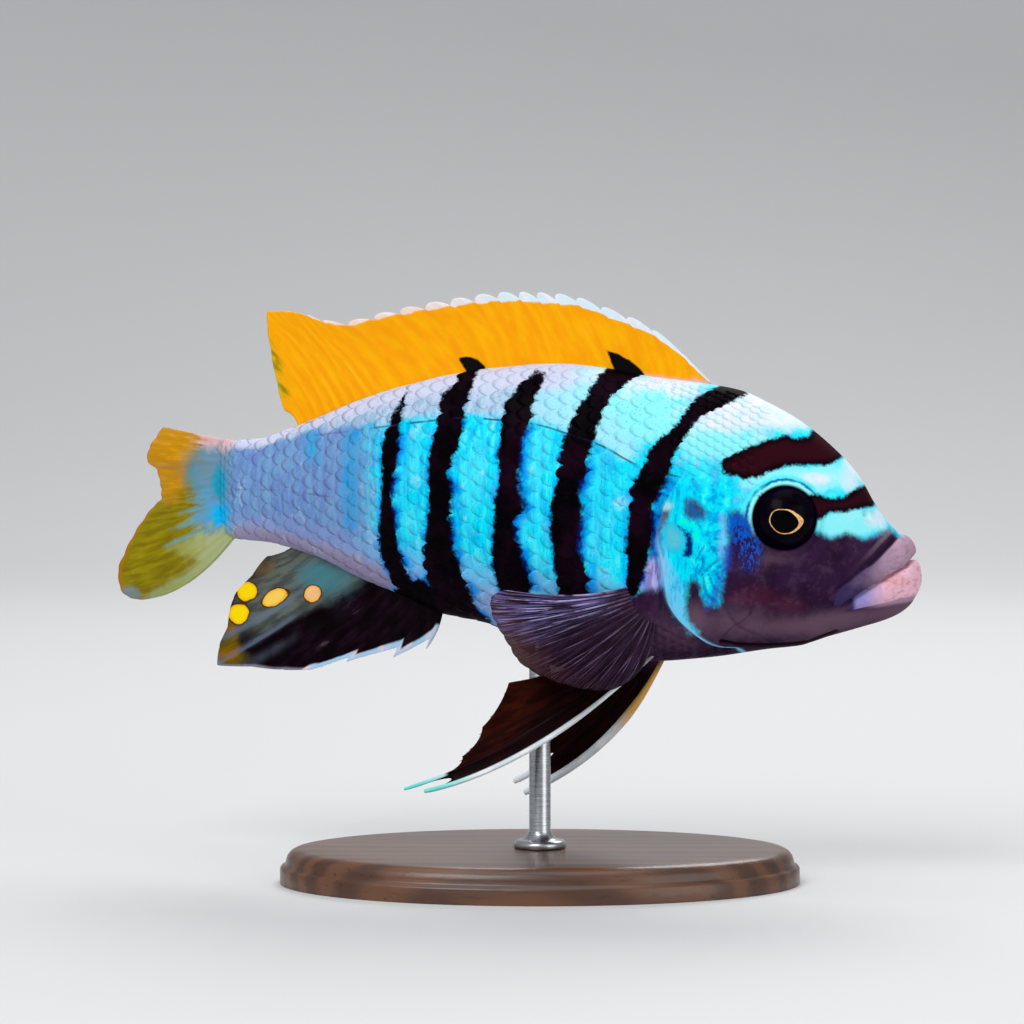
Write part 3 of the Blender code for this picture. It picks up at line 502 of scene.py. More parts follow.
def add_node(tree, kind, inputs=(), out=0, **settings):
    """Adds a node with its sockets set or linked, and gives back what comes out of it."""
    made = tree.nodes.new(kind)
    for key, value in settings.items():
        setattr(made, key, value)
    for socket, value in dict(inputs).items():
        if isinstance(value, bpy.types.NodeSocket):
            tree.links.new(value, made.inputs[socket])
        else:
            made.inputs[socket].default_value = value
    return made.outputs[out]


class Paint:
    """Builds one material. Each method adds nodes and gives back what comes out of them."""

    def __init__(self, name, **fixed):
        self.material = bpy.data.materials.new(name)
        self.material.use_nodes = True
        self.tree = self.material.node_tree
        self.shader = self.tree.nodes["Principled BSDF"]
        for socket, value in fixed.items():
            self.shader.inputs[socket.replace("_", " ")].default_value = value
        self.object_place = self.tree.nodes.new("ShaderNodeTexCoord").outputs["Object"]

    def node(self, kind, inputs=(), out=0, **settings):
        return add_node(self.tree, kind, inputs, out, **settings)

    def field(self, name, out="Fac"):
        return self.node("ShaderNodeAttribute", attribute_name=name, out=out)

    def sums(self, operation, *values):
        return self.node("ShaderNodeMath", dict(enumerate(values)), operation=operation)

    def times(self, a, b):
        return self.sums("MULTIPLY", a, b)

    def nudge(self, cloud, push, value):
        """The value, pushed up and down by a cloud round 0.5."""
        return self.sums("MULTIPLY_ADD", self.sums("ADD", cloud, -0.5), push, value)

    def over(self, value, low, high):
        """0 below low, 1 above high and smooth in between. A value may be the name of a field."""
        value = self.field(value) if isinstance(value, str) else value
        return self.node("ShaderNodeMapRange", {0: value, 1: low, 2: high},
                         interpolation_type="SMOOTHSTEP")

    def near(self, value, wide, full):
        """1 on a line where the value is 0, and 0 this wide of it."""
        return self.over(self.sums("ABSOLUTE", value), wide, full)

    def noise(self, size, detail=3.0, stretch=(1, 1, 1), turn=(0, 0, 0), rough=0.55):
        """Cloudy values round 0.5, whose blotches are this many millimetres across."""
        scale = tuple(1000 / size / s for s in stretch)
        place = self.node("ShaderNodeMapping", {"Vector": self.object_place, "Scale": scale,
                                                "Rotation": turn})
        return self.node("ShaderNodeTexNoise", {"Vector": place, "Scale": 1.0, "Detail": detail,
                                                "Roughness": rough})

    def ray_streaks(self, across, along, size, detail=4.0):
        """Streaks that follow a fin's rays."""
        flow = self.node("ShaderNodeMapping", {"Vector": self.field("weave", "Vector"),
                                               "Scale": (across, along, 1.0)})
        return self.node("ShaderNodeTexNoise", {"Vector": flow, "Scale": size, "Detail": detail})

    def fade(self, share, below, above):
        """Mixes numbers as mix does colours."""
        return self.node("ShaderNodeMix", {0: share, 2: below, 3: above}, data_type="FLOAT")

    def mix(self, share, below, above):
        return self.node("ShaderNodeMix", {0: share, 6: below, 7: above}, out=2, data_type="RGBA")

    def shades(self, value, low, high, below, above):
        """One colour where the value is low, and the other where it is high."""
        return self.mix(self.over(value, low, high), below, above)

    def coats(self, colour, *layers):
        """Lays one colour after another over the first, each as far as its share says."""
        for share, layer in layers:
            colour = self.mix(share, colour, layer)
        return colour

    def bump(self, height_value, depth, below=None):
        """Relief this many millimetres deep."""
        inputs = {"Height": height_value, "Distance": depth * MM, "Strength": 1.0}
        if below is not None:
            inputs["Normal"] = below
        return self.node("ShaderNodeBump", inputs)

    def finish(self, colour, bump=None, rough=None):
        """Joins the colour and relief to the shader, and gives back the material."""
        self.tree.links.new(colour, self.shader.inputs["Base Color"])
        if bump is not None:
            self.tree.links.new(bump, self.shader.inputs["Normal"])
        if rough is not None:
            self.tree.links.new(rough, self.shader.inputs["Roughness"])
        return self.material


BLACK = tint(3, 0, 4)


def root_tints(paint):
    """Colours over the tail fin's root, which the hide and the fin share."""
    along = paint.node("ShaderNodeSeparateXYZ", {0: paint.object_place})
    up = paint.node("ShaderNodeSeparateXYZ", {0: paint.object_place}, out=2)
    up = paint.sums("ADD", up, paint.sums("MULTIPLY_ADD", paint.noise(1.4, 5.0, rough=0.65), 4 * MM, -2 * MM))

    def spot(x, z, wide, tall):
        aside = paint.times(paint.sums("ADD", along, -x * MM), 1 / (wide * MM))
        above = paint.times(paint.sums("ADD", up, -z * MM), 1 / (tall * MM))
        return paint.over(paint.sums("MULTIPLY_ADD", aside, aside, paint.times(above, above)), 1.6, 0.2)

    return paint.coats(
        paint.shades(up, 43.0 * MM, 46.5 * MM, tint(92, 158, 196), tint(112, 150, 176)),
        (spot(-37.9, 45.6, 1.2, 1.9), tint(28, 160, 196)),
        (spot(-37.4, 41.7, 1.7, 1.5), tint(0, 180, 240)),
        (paint.over(up, 48.4 * MM, 50.6 * MM), tint(228, 188, 190)),
        (paint.over(up, 40.8 * MM, 39.0 * MM), tint(170, 178, 126)))


def paint_skin(name, scaled):
    """Bright blue hide with black bars, a dark plum face and a white nape."""
    paint = Paint(name, Roughness=0.58, Coat_Weight=0.008, Coat_Roughness=0.15, Specular_IOR_Level=0.02)
    ragged = paint.noise(0.55, 4.0, stretch=(1, 1, 1.3), rough=0.7)
    fine = paint.noise(0.3, 3.0)
    clouds = paint.noise(5.0, 4.0)
    blots = paint.noise(2.4, 4.0)
    streaks = paint.noise(1.3, 5.0, stretch=(0.5, 0.5, 2.6), rough=0.65)
    streaks = paint.fade(paint.field("head"), streaks, paint.noise(1.2, 5.0, rough=0.65))
    wobble = paint.sums("MULTIPLY_ADD", ragged, 1.1, -0.55)
    rough_cloud = paint.sums("ADD", paint.sums("MULTIPLY_ADD", ragged, 0.5, blots), -0.75)
    field, over, part, shades, coats = paint.field, paint.over, paint.times, paint.shades, paint.coats

    def marked(name, low, high):
        """How much of a marking shows, with ragged edges."""
        return over(paint.sums("ADD", field(name), wobble), low, high)

    def clouded(name, push, low, high):
        """How much of a broad patch shows, with cloudy edges."""
        return over(paint.sums("MULTIPLY_ADD", rough_cloud, push, field(name)), low, high)

    middle = part(over("bars", -0.8, -1.7), over(clouds, 0.4, 0.62))
    speckle = part(over(fine, 0.58, 0.7), over("head", 0.9, 0.2))
    high = shades(streaks, 0.42, 0.6, tint(186, 204, 230), tint(150, 184, 212))
    blue = coats(
        shades(streaks, 0.46, 0.62, tint(0, 228, 252), tint(0, 190, 242)),
        (over(streaks, 0.45, 0.34), tint(70, 240, 253)),
        (part(middle, 0.35), tint(90, 234, 252)),
        (clouded("rear", 0.8, 0.15, 0.9),
         shades(streaks, 0.42, 0.6, tint(116, 158, 206), tint(106, 134, 196))),
        (clouded("under", 0.8, 0.2, 0.6), paint.mix(field("rear"), tint(110, 200, 248), tint(128, 150, 204))),
        (clouded("under", 0.8, 0.6, 1.05),
         shades(streaks, 0.4, 0.6, tint(150, 176, 226), tint(150, 152, 196))),
        (clouded("above", 1.2, 0.1, 0.9), paint.mix(field("forward"), high, tint(160, 232, 250))),
        (clouded("topmost", 0.8, 0.3, 1.0), tint(208, 210, 234)),
        (clouded("lowest", 0.6, 0.2, 0.9), tint(152, 140, 172)),
        (clouded("aqua", 1.5, 0.1, 0.9), tint(140, 243, 249)),
        (clouded("white", 1.5, 0.1, 1.0),
         shades(streaks, 0.4, 0.65, tint(236, 238, 248), tint(206, 236, 248))),
        (marked("stripes", -0.8, 0.8), shades(streaks, 0.4, 0.6, tint(0, 150, 226), tint(80, 160, 206))),
        (part(speckle, 0.4), tint(0, 96, 180)))
    if scaled:
        rim = part(part(over("rim", 0.84, 1.0), over(blots, 0.36, 0.6)),
                   paint.sums("MULTIPLY_ADD", field("rear"), 0.28, 0.12))
        blue = coats(blue, (rim, paint.mix(field("rear"), tint(0, 130, 206), tint(118, 76, 140))),
                     (part(field("chance"), 0.07), tint(150, 220, 246)))

    # Painted shade: dark blue lines that fan over the gill cover, where fine ridges would cast shadow.
    rib_shade = over(paint.nudge(ragged, 0.3, field("ripple")), 0.5, 0.85)
    lobe = shades("lobe", 0.1, 1.1, tint(36, 198, 232), tint(88, 196, 216))
    gill = coats(
        shades(streaks, 0.47, 0.62, tint(0, 226, 250), tint(0, 168, 230)),
        (over(streaks, 0.44, 0.36), tint(50, 246, 244)),
        # Painted shade along the gill cover's fan lines.
        (part(rib_shade, 0.62), tint(0, 100, 180)),
        (part(marked("smudge", -0.6, 0.4), 0.9),
         shades(streaks, 0.44, 0.56, tint(16, 64, 150), tint(62, 36, 98))),
        (marked("cheek_rim", -0.5, 0.4), tint(120, 200, 246)),
        (marked("lobe", -0.2, 0.2), paint.mix(part(speckle, 0.4), lobe, tint(70, 160, 190))),
        (marked("crescent", -0.2, 0.25), tint(0, 36, 112)),
        (marked("gleam", -0.15, 0.15), tint(0, 246, 226)),
        (part(marked("strip", -0.5, 0.5), over(streaks, 0.66, 0.44)), tint(112, 208, 248)))

    azure = part(marked("fringe", -1.0, -0.1), part(over(blots, 0.34, 0.58), field("low_side")))
    over_eye = paint.nudge(ragged, 0.5, field("eye_gap"))
    groove = part(over(over_eye, 1.05, 0.85), part(field("orbit"), over(blots, 0.3, 0.5)))
    blue = coats(
        blue,
        (field("tail_root"), root_tints(paint)),
        (field("gill"), gill),
        (marked("shadow", -0.5, 0.2), shades(streaks, 0.42, 0.58, tint(34, 44, 150), tint(84, 44, 104))),
        (part(marked("bruise", -0.5, 0.3), 0.85), tint(92, 44, 70)),
        (part(marked("cream", -0.4, 0.3), 0.7), tint(190, 232, 226)),
        (azure, tint(0, 152, 242)),
        (part(over(over_eye, 1.6, 1.1), field("orbit")), tint(84, 236, 244)),
        (groove, tint(0, 118, 168)),
        (part(over(over_eye, 0.75, 0.5), field("orbit")), tint(150, 246, 246)))

    front = paint.nudge(blots, 0.8, field("front"))
    upper = shades(front, -0.1, 1.05, tint(54, 42, 84), tint(178, 146, 168))
    lower = coats(shades(front, -0.15, 0.9, tint(142, 138, 202), tint(238, 188, 204)),
                  (part(clouded("blush", 1.0, 0.2, 0.9), 0.45), tint(226, 152, 152)))
    creases = over(paint.noise(0.7, 5.0, stretch=(1, 1, 0.6), turn=(0, 0.5, 0)), 0.45, 0.7)
    creases = part(part(over("mouth", 0.3, 0.9), creases), over(front, 0.3, 0.8))
    lip_shadow = part(paint.near(paint.sums("ADD", field("lip_line"), 0.1), 0.32, 0.08),
                      paint.sums("MULTIPLY_ADD", field("front"), 0.4, 0.3))
    lip_streak = part(paint.near(paint.sums("ADD", field("lip_line"), 0.8), 0.3, 0.05), field("front"))
    plum = coats(
        shades(clouds, 0.35, 0.7, tint(50, 26, 58), tint(36, 16, 42)),
        (clouded("maroon", 0.7, 0.3, 1.0), tint(64, 22, 48)),
        (part(clouded("mauve", 0.9, -0.1, 1.4), 0.85), tint(108, 82, 100)),
        (part(over(streaks, 0.5, 0.7), 0.25), tint(92, 66, 96)),
        (over("mouth", 0.2, 0.9), upper),
        (over("mouth", 1.1, 1.9), lower),
        (part(creases, 0.45), tint(118, 84, 108)),
        (lip_shadow, tint(26, 12, 28)),
        (part(lip_streak, 0.6), tint(150, 130, 148)),
        # Painted shade: a near-black line in the groove along the throat.
        (over("throat", 0.34, 0.1), tint(20, 6, 12)))

    on_cheek = marked("specks", -0.9, 0.7)
    dots = paint.sums("MULTIPLY_ADD", field("speck_top"), 0.14, paint.noise(0.34, 3.0, stretch=(1, 1, 1.8)))
    veins = paint.noise(0.5, 3.0, stretch=(1, 1, 5), turn=(0, 0.5, 0))
    navy = part(marked("fringe", -0.2, 0.35), part(over("face", 0.0, -1.0), field("low_side")))
    pores = paint.sums("MINIMUM", paint.sums("ABSOLUTE", field("upper_gap")),
                       paint.sums("ABSOLUTE", field("lower_gap")))
    dashes = part(over(pores, 0.17, 0.05), over(blots, 0.4, 0.54))
    faint = paint.sums("MULTIPLY_ADD", field("rear"), -0.4, 0.75)
    skin = coats(
        blue,
        (marked("face", -0.5, 0.5), plum),
        (part(on_cheek, 0.55), tint(34, 30, 104)),
        (part(on_cheek, over(dots, 0.5, 0.64)), tint(0, 92, 206)),
        (part(marked("blue_rim", -0.6, 0.5), 0.75), tint(44, 70, 190)),
        (marked("lilac", -0.8, 0.5), shades(veins, 0.42, 0.6, tint(132, 124, 190), tint(186, 176, 226))),
        (field("gill_rim"), tint(126, 204, 244)),
        (part(navy, over(blots, 0.34, 0.56)), tint(0, 26, 104)),
        (marked("brows", -0.25, 0.2), shades("brows", 0.1, 1.0, tint(12, 2, 10), tint(46, 8, 20))),
        (marked("bars", -0.15, 0.2), shades(clouds, 0.45, 0.7, BLACK, tint(24, 4, 20))),
        (part(dashes, faint), paint.mix(field("rear"), tint(34, 16, 52), tint(92, 62, 128))),
        # Painted shade: near black where the skin dips into the socket round the eye.
        (over("eye_gap", 0.35, 0.05), tint(6, 1, 12)))
    return paint.finish(skin, paint.bump(streaks, 0.03, paint.bump(fine, 0.02)))


fish_hide = paint_skin("fish_hide", False)
skin_mesh, skin_x, skin_share = wrap_skin()
skin_z = height(skin_x, skin_share)
mark_skin(skin_mesh, skin_x, skin_z, skin_x, skin_z)
merge_doubles(skin_mesh)
skin = new_piece("fish_skin", skin_mesh, fish_hide, "blue_skin", "head", "trunk", "tail_stalk",
                 "upper_lip", "lower_jaw", "gill_cover_right", "gill_cover_left")

# The scales. About 750 thin overlapping plates cover each side, rooted in the hide and free
# at their rear edge. They are large on the flank, and small on the nape, the breast and the tail.
SCALE_LENGTH, SCALE_HEIGHT = 1.56, 1.78
SMALL_SCALE = 0.62
SCALE_LAP = 1.95
SCALE_RISE = 0.08
SCALE_THICK = 0.055
NAPE_START, NAPE_END = 16.6, 27.5
BREAST_START, BREAST_TOP = 4.5, 0.16
TAIL_SCALES_FROM = -33.6
BARE_BY_GILL = 0.45
BARE_AT, BARE_SIZE = (13.8, 34.4), (2.7, 5.0)
PLATE_START, PLATE_RUN, PLATE_HALF = -0.15, 1.15, 0.62
MAP_EDGE, MAP_SPAN, MAP_PATCH = 0.01, 0.98, 0.003


def new_tree(name, *inputs):
    """A Geometry Nodes tree, the keys that a modifier needs, and what its inputs give."""
    tree = bpy.data.node_groups.new(name, "GeometryNodeTree")
    for way in ("INPUT", "OUTPUT"):
        tree.interface.new_socket("Geometry", in_out=way, socket_type="NodeSocketGeometry")
    keys = {}
    for label, kind, value in inputs:
        socket = tree.interface.new_socket(label, in_out="INPUT", socket_type="NodeSocket" + kind)
        if value is not None:
            socket.default_value = value
        keys[label.lower().replace(" ", "_")] = socket.identifier
    return tree, keys, tree.nodes.new("NodeGroupInput").outputs


def end_tree(tree, geometry, finish):
    """Gives the geometry its material, and sends it out of the tree."""
    painted = add_node(tree, "GeometryNodeSetMaterial", {"Geometry": geometry, "Material": finish})
    tree.links.new(painted, tree.nodes.new("NodeGroupOutput").inputs[0])


def grow(mesh, tree, keys, **values):
    """Runs a Geometry Nodes tree on a mesh, and gives back the plain mesh it makes."""
    carrier = put_in_scene(mesh.name, mesh)
    nodes = carrier.modifiers.new(tree.name, "NODES")
    nodes.node_group = tree
    for name, value in values.items():
        nodes[keys[name]] = value
    depsgraph = bpy.context.evaluated_depsgraph_get()
    made = bpy.data.meshes.new_from_object(carrier.evaluated_get(depsgraph), depsgraph=depsgraph)
    made.name = mesh.name
    carrier.modifiers.clear()
    bpy.data.objects.remove(carrier)
    return made


def make_plate(name, along, across):
    """One scale, lying in the XY plane with its root at 0 and its free edge at +X."""
    t, w = np.meshgrid(np.linspace(0, 1, along), np.sin(np.linspace(-1, 1, across) * math.pi / 2),
                       indexing="ij")
    x = PLATE_START + PLATE_RUN * t * (0.28 + 0.72 * np.sqrt(1 - 0.97 * w * w))
    y = PLATE_HALF * w * (0.8 + 0.2 * np.minimum(2 * t, 1.0))
    arch = 0.12 * np.sin(np.pi * t) * (1 - w * w)
    lift = -0.5 + 1.5 * (x - PLATE_START) / PLATE_RUN - 0.1 * w * w + arch
    top = np.stack([x, y, 0 * x], -1).reshape(-1, 3)
    rim = np.roll(grid_rim(along, across)[::-1], 1)
    low = len(top) + np.arange(len(rim))
    walls = np.stack([rim, low, np.roll(low, -1), np.roll(rim, -1)], -1)
    mesh = plain_mesh(name, np.concatenate([top, top[rim]]), [*grid_quads(along, across), *walls, low[::-1]])
    store(mesh, lift=np.concatenate([lift.ravel(), lift.ravel()[rim] - SCALE_THICK / SCALE_RISE]),
          rim=np.concatenate([t.ravel(), t.ravel()[rim]]), spot=np.concatenate([top, top[rim]]))
    return put_in_scene(name, mesh)


def scale_roots(side, length, tall, first, last, wanted):
    """Where scales are wanted, in staggered rows evenly apart over the skin: rows of x and share."""
    shares = np.linspace(0.004, 0.996, 400)
    x, roots, column = first, [], 0
    while x > last:
        here = np.full(shares.shape, x)
        ring = off_backbone(here, height(x, shares), flank(here, shares), side)
        arc = np.concatenate([[0], np.cumsum(np.linalg.norm(np.diff(ring, axis=0), axis=1))])
        arc -= np.interp(0.5, shares, arc)
        count = int(max(-arc[0], arc[-1]) / tall) + 1
        offsets = (np.arange(-count, count + 1) + 0.5 * (column % 2)) * tall
        share = np.interp(offsets[(offsets > arc[0]) & (offsets < arc[-1])], arc, shares)
        roots += [(x, s) for s in share if wanted(x, s)]
        slope = (flank(x + 0.1, 0.5) - flank(x - 0.1, 0.5)) / 0.2
        x -= length / math.sqrt(1 + lean(x) ** 2 + slope ** 2)
        column += 1
    return np.array(roots)


def scale_frame(x, share, side):
    """Where a scale's root lies on the skin, which way is out and which way is towards the tail."""
    def at(a, s):
        return off_backbone(a, height(a, s), flank(a, s), side)
    step = 0.05
    up = at(x, np.minimum(share + 0.002, 0.999)) - at(x, np.maximum(share - 0.002, 0.001))
    back_way = at(x - step, share_of(x - step, height(x, share))) - at(x, share)
    back_way /= np.linalg.norm(back_way, axis=-1, keepdims=True)
    out = np.cross(up, back_way) * -side
    out /= np.linalg.norm(out, axis=-1, keepdims=True)
    return at(x, share), out, back_way


def make_scale_tree():
    """Sets a plate on each root, bends it to the skin, and keeps the skin's own places on it."""
    tree, keys, given = new_tree("scale_coat", ("Plate", "Object", None), ("Skin", "Object", None),
                                 ("Rise", "Float", SCALE_RISE * MM), ("Finish", "Material", None))

    def add(kind, inputs=(), out=0, **settings):
        return add_node(tree, kind, inputs, out, **settings)

    def named(name, kind="FLOAT_VECTOR"):
        return add("GeometryNodeInputNamedAttribute", {"Name": name}, "Attribute", data_type=kind)

    plate = add("GeometryNodeObjectInfo", {"Object": given["Plate"]}, "Geometry")
    hide = add("GeometryNodeObjectInfo", {"Object": given["Skin"]}, "Geometry")
    turn = add("FunctionNodeAxesToRotation",
               {"Primary Axis": named("back_way"), "Secondary Axis": named("out_way")},
               primary_axis="X", secondary_axis="Z")
    coat = add("GeometryNodeInstanceOnPoints", {"Points": given["Geometry"], "Instance": plate,
                                                "Rotation": turn, "Scale": named("size")})
    coat = add("GeometryNodeRealizeInstances", {"Geometry": coat})

    def from_skin(value):
        return add("GeometryNodeSampleNearestSurface", {"Mesh": hide, "Value": value}, "Value",
                   data_type="FLOAT_VECTOR")

    place = from_skin(add("GeometryNodeInputPosition"))
    out = add("ShaderNodeVectorMath", {0: from_skin(add("GeometryNodeInputNormal"))}, operation="NORMALIZE")
    lift = add("ShaderNodeMath", {0: named("lift", "FLOAT"), 1: given["Rise"]}, operation="MULTIPLY")
    push = add("ShaderNodeVectorMath", {0: out, "Scale": lift}, operation="SCALE")
    there = add("ShaderNodeVectorMath", {0: place, 1: push}, operation="ADD")
    kept = add("GeometryNodeStoreNamedAttribute",
               {"Geometry": coat, "Name": "side", "Value": from_skin(named("side"))},
               data_type="FLOAT_VECTOR", domain="POINT")
    end_tree(tree, add("GeometryNodeSetPosition", {"Geometry": kept, "Position": there}), given["Finish"])
    return tree, keys


def read(mesh, name, width=3):
    """The numbers that a mesh keeps on its points, under a name."""
    values = np.zeros(len(mesh.vertices) * width, np.float32)
    mesh.attributes[name].data.foreach_get("vector" if width == 3 else "value", values)
    return values.reshape(-1, width) if width == 3 else values


def give_bake_map(mesh, roots, spots):
    """Each scale is a small patch of the map, at its root's place on the fish's unrolled side."""
    layer = mesh.uv_layers.new(name="OFBake")
    u = MAP_EDGE + MAP_SPAN * (roots[:, 0] - TAIL_END) / (SNOUT_END - TAIL_END) + spots[:, 0] * MAP_PATCH
    v = MAP_EDGE + MAP_SPAN * roots[:, 1] + spots[:, 1] * MAP_PATCH
    corners = np.zeros(len(mesh.loops), np.int32)
    mesh.loops.foreach_get("vertex_index", corners)
    layer.data.foreach_set("uv", np.stack([u, v], -1)[corners].astype(np.float32).ravel())


def build_scales(word, side, tree, keys, plates, finish):
    """One side's coat: large scales on the flank, and small ones on the nape, breast and tail."""
    def on_flank(x, s):
        behind_gill = x < gill_edge(s) - BARE_BY_GILL or s > GILL_TOP + 0.02
        bare = math.hypot((x - BARE_AT[0]) / BARE_SIZE[0], (height(x, s) - BARE_AT[1]) / BARE_SIZE[1]) < 1
        on_breast = s < BREAST_TOP and x > BREAST_START
        return behind_gill and x < NAPE_START and not bare and not on_breast

    def on_small(x, s):
        nape = x >= NAPE_START - 0.6 and s > GILL_TOP + 0.03 and x < NAPE_END - 6 * (1 - s)
        breast = BREAST_START < x < gill_edge(s) - 0.25 and s < BREAST_TOP
        return nape or breast or x < TAIL_SCALES_FROM

    made = []
    for size, plate, wanted, first, last in (
            (1.0, plates[0], on_flank, NAPE_START, TAIL_SCALES_FROM - 0.4),
            (SMALL_SCALE, plates[1], on_small, NAPE_END, TAIL_END + 1.3)):
        roots = scale_roots(side, SCALE_LENGTH * size, SCALE_HEIGHT * size, first, last, wanted)
        x, share = roots.T
        places, out, back_way = scale_frame(x, share, side)
        points = plain_mesh(f"scales_{word}", places * MM, [])
        shrink = np.interp(x, (-34, -20), (0.86, 1.0))
        big = np.stack([shrink * SCALE_LENGTH * SCALE_LAP, SCALE_HEIGHT + 0 * shrink, 0 * shrink + 1], -1)
        chance = np.modf(np.sin(x * 91.7 + share * 717) * 43758)[0]
        store(points, back_way=back_way, out_way=out, size=big * size * MM,
              root=np.stack([x, share, chance], -1))
        made.append(grow(points, tree, keys, plate=plate, skin=skin, finish=finish,
                         rise=SCALE_RISE * MM * (0.55 + 0.45 * size)))
    whole = bmesh.new()
    for mesh in made:
        whole.from_mesh(mesh)
    coat = bpy.data.meshes.new(f"scales_{word}")
    whole.to_mesh(coat)
    whole.free()
    root, spot, place = read(coat, "root"), read(coat, "spot"), read(coat, "side")
    x = 0.8 * place[:, 0] + 0.2 * root[:, 0]
    share = 0.8 * place[:, 1] + 0.2 * root[:, 1]
    x = np.where(share < GILL_TOP, np.minimum(x, gill_edge(share) - 0.35), x)
    mark_skin(coat, x, height(x, share), place[:, 0], place[:, 2])
    store(coat, chance=np.abs(root[:, 2]))
    give_bake_map(coat, root, spot)
    return new_piece(f"scales_{word}", coat, finish, "blue_skin")


scale_finish = paint_skin("fish_scales", True)
scale_tree, scale_keys = make_scale_tree()
plates = make_plate("big_plate", 6, 9), make_plate("little_plate", 4, 7)
for word, side in SIDES:
    build_scales(word, side, scale_tree, scale_keys, plates, scale_finish)
for plate in plates:
    bpy.data.objects.remove(plate)

# The eyes. Each is a glass eye, painted behind a clear front, and sits in the socket that the skin
# leaves open. A thin gold ring, pointed at the front, edges a black pupil in a dark plum iris.
EYE_RADII = (3.62, 2.6, 3.62)
EYE_SUNK = 1.1
EYE_BULGE = 0.22
PUPIL_AT = (-0.13, -0.22)
PUPIL_EDGE = [(-180, 1.62), (-139, 1.45), (-90, 1.42), (-47, 1.5), (-14, 1.64), (20, 1.36), (48, 1.2),
              (90, 1.22), (148, 1.6), (180, 1.62)]
RING_EDGE = [(-180, 1.73), (-139, 1.54), (-90, 1.51), (-50, 1.69), (-22, 1.95), (0, 2.17), (16, 1.87),
             (38, 1.52), (90, 1.31), (148, 1.69), (180, 1.73)]


def paint_eye():
    """A dark plum iris, a gold ring and a black pupil, under a clear glaze."""
    paint = Paint("eye_glass", Roughness=0.3, Coat_Weight=0.02, Coat_Roughness=0.02, Specular_IOR_Level=0.02)
    streaks = paint.noise(0.5, 3.0)
    gold = paint.shades(paint.noise(0.3, 2.0), 0.35, 0.7, tint(232, 160, 92), tint(255, 222, 160))
    eye = paint.coats(
        paint.shades(streaks, 0.4, 0.75, tint(3, 0, 7), tint(10, 2, 17)),
        (paint.over("from_pupil", 2.9, 3.5), tint(18, 4, 32)),
        (paint.over("in_ring", -0.05, 0.05), gold),
        (paint.over("in_pupil", -0.05, 0.05), tint(2, 2, 3)))
    return paint.finish(eye, paint.bump(streaks, 0.02))


def build_eye(word, side, finish):
    """A ball flattened to the head's side, with a bulge for the clear front."""
    middle = off_backbone(EYE[0], EYE[1], flank(EYE[0], share_of(*EYE)) - EYE_SUNK, side)
    ball = bmesh.new()
    bmesh.ops.create_uvsphere(ball, u_segments=72, v_segments=60, radius=1.0)
    mesh = bpy.data.meshes.new(f"glass_eye_{word}")
    ball.to_mesh(mesh)
    ball.free()
    points = np.zeros(len(mesh.vertices) * 3)
    mesh.vertices.foreach_get("co", points)
    points = points.reshape(-1, 3)[:, (0, 2, 1)] * EYE_RADII
    from_middle = np.hypot(points[:, 0], points[:, 2])
    outer = points[:, 1] * side > 0
    points[:, 1] += side * EYE_BULGE * outer * bump_at(from_middle, 1.9)
    aside, up = points[:, 0] - PUPIL_AT[0], points[:, 2] - PUPIL_AT[1]
    angle, from_pupil = np.degrees(np.arctan2(up, aside)), np.hypot(up, aside)
    store(mesh, from_pupil=from_middle, in_pupil=curve(PUPIL_EDGE)(angle) - from_pupil,
          in_ring=curve(RING_EDGE)(angle) - from_pupil)
    mesh.vertices.foreach_set("co", ((points + middle) * MM).astype(np.float32).ravel())
    merge_doubles(mesh)
    return new_piece(f"glass_eye_{word}", mesh, finish, "eye_black", f"eye_{word}")


eye_glass = paint_eye()
for word, side in SIDES:
    build_eye(word, side, eye_glass)

# The dorsal fin. Seventeen bony spines and nine soft rays carry one thin orange skin, which hangs
# in pale rounded flaps behind the spines' tips. Every other fin is laid out the same way: rays
# bowed from a root to a tip, a membrane over them, and tubes for the rays, soft ones forked.
DORSAL_SPINES, DORSAL_RAYS, DORSAL_SOFT_FROM = 17, 9, -18.4
DORSAL_EDGE = [(19.2, 18.5, 58.4), (17.5, 16.7, 60.6), (15.0, 12.9, 63.8), (11.7, 8.6, 65.7),
               (6.9, 2.6, 67.6), (0.6, -3.4, 67.8), (-4.5, -9.4, 67.1), (-9.2, -15.5, 66.0),
               (-12.5, -19.9, 65.0), (-15.2, -23.6, 64.3), (-18.4, -27.4, 65.4), (-21.2, -29.9, 65.8),
               (-23.4, -32.0, 65.7), (-25.0, -31.9, 62.9), (-26.3, -31.1, 59.6), (-27.3, -30.6, 56.0),
               (-28.1, -30.0, 54.2)]
DORSAL_BOW = (1.0, 0.0, 0.7)
FIN_FLARES = [[(8.2, 58.0), (8.4, 59.3), (7.5, 61.5), (8.9, 61.0), (10.3, 60.3), (11.5, 59.3),
               (12.2, 58.2)],
              [(-8.9, 57.5), (-8.6, 59.0), (-9.4, 60.4), (-8.4, 60.7), (-7.2, 60.4), (-6.2, 59.5),
               (-6.4, 57.5)]]
FLAP_WIDTH = [(0, 1.9), (0.1, 1.8), (0.25, 1.6), (0.4, 1.15), (0.55, 0.75), (0.66, 0.65), (0.72, 0.2),
              (1.0, 0.15)]
FIN_SUNK = 0.9
RAYS_STOP_AT = 0.985


def bowed(roots, tips, bow):
    """Root, bend and tip of each ray."""
    return np.stack([roots, (roots + tips) / 2 + bow, tips], axis=1)


def rays_from_edge(places, edge, line, sunk):
    """Rays in the fish's middle plane, from root places and an edge of (root x, tip x, tip z)."""
    tip_x, tip_z = (curve([(row[0], row[k]) for row in edge])(places) for k in (1, 2))
    roots = np.stack([places, backbone(places), line(places) - sunk], axis=1)
    return roots, np.stack([tip_x, backbone(tip_x), tip_z], axis=1)


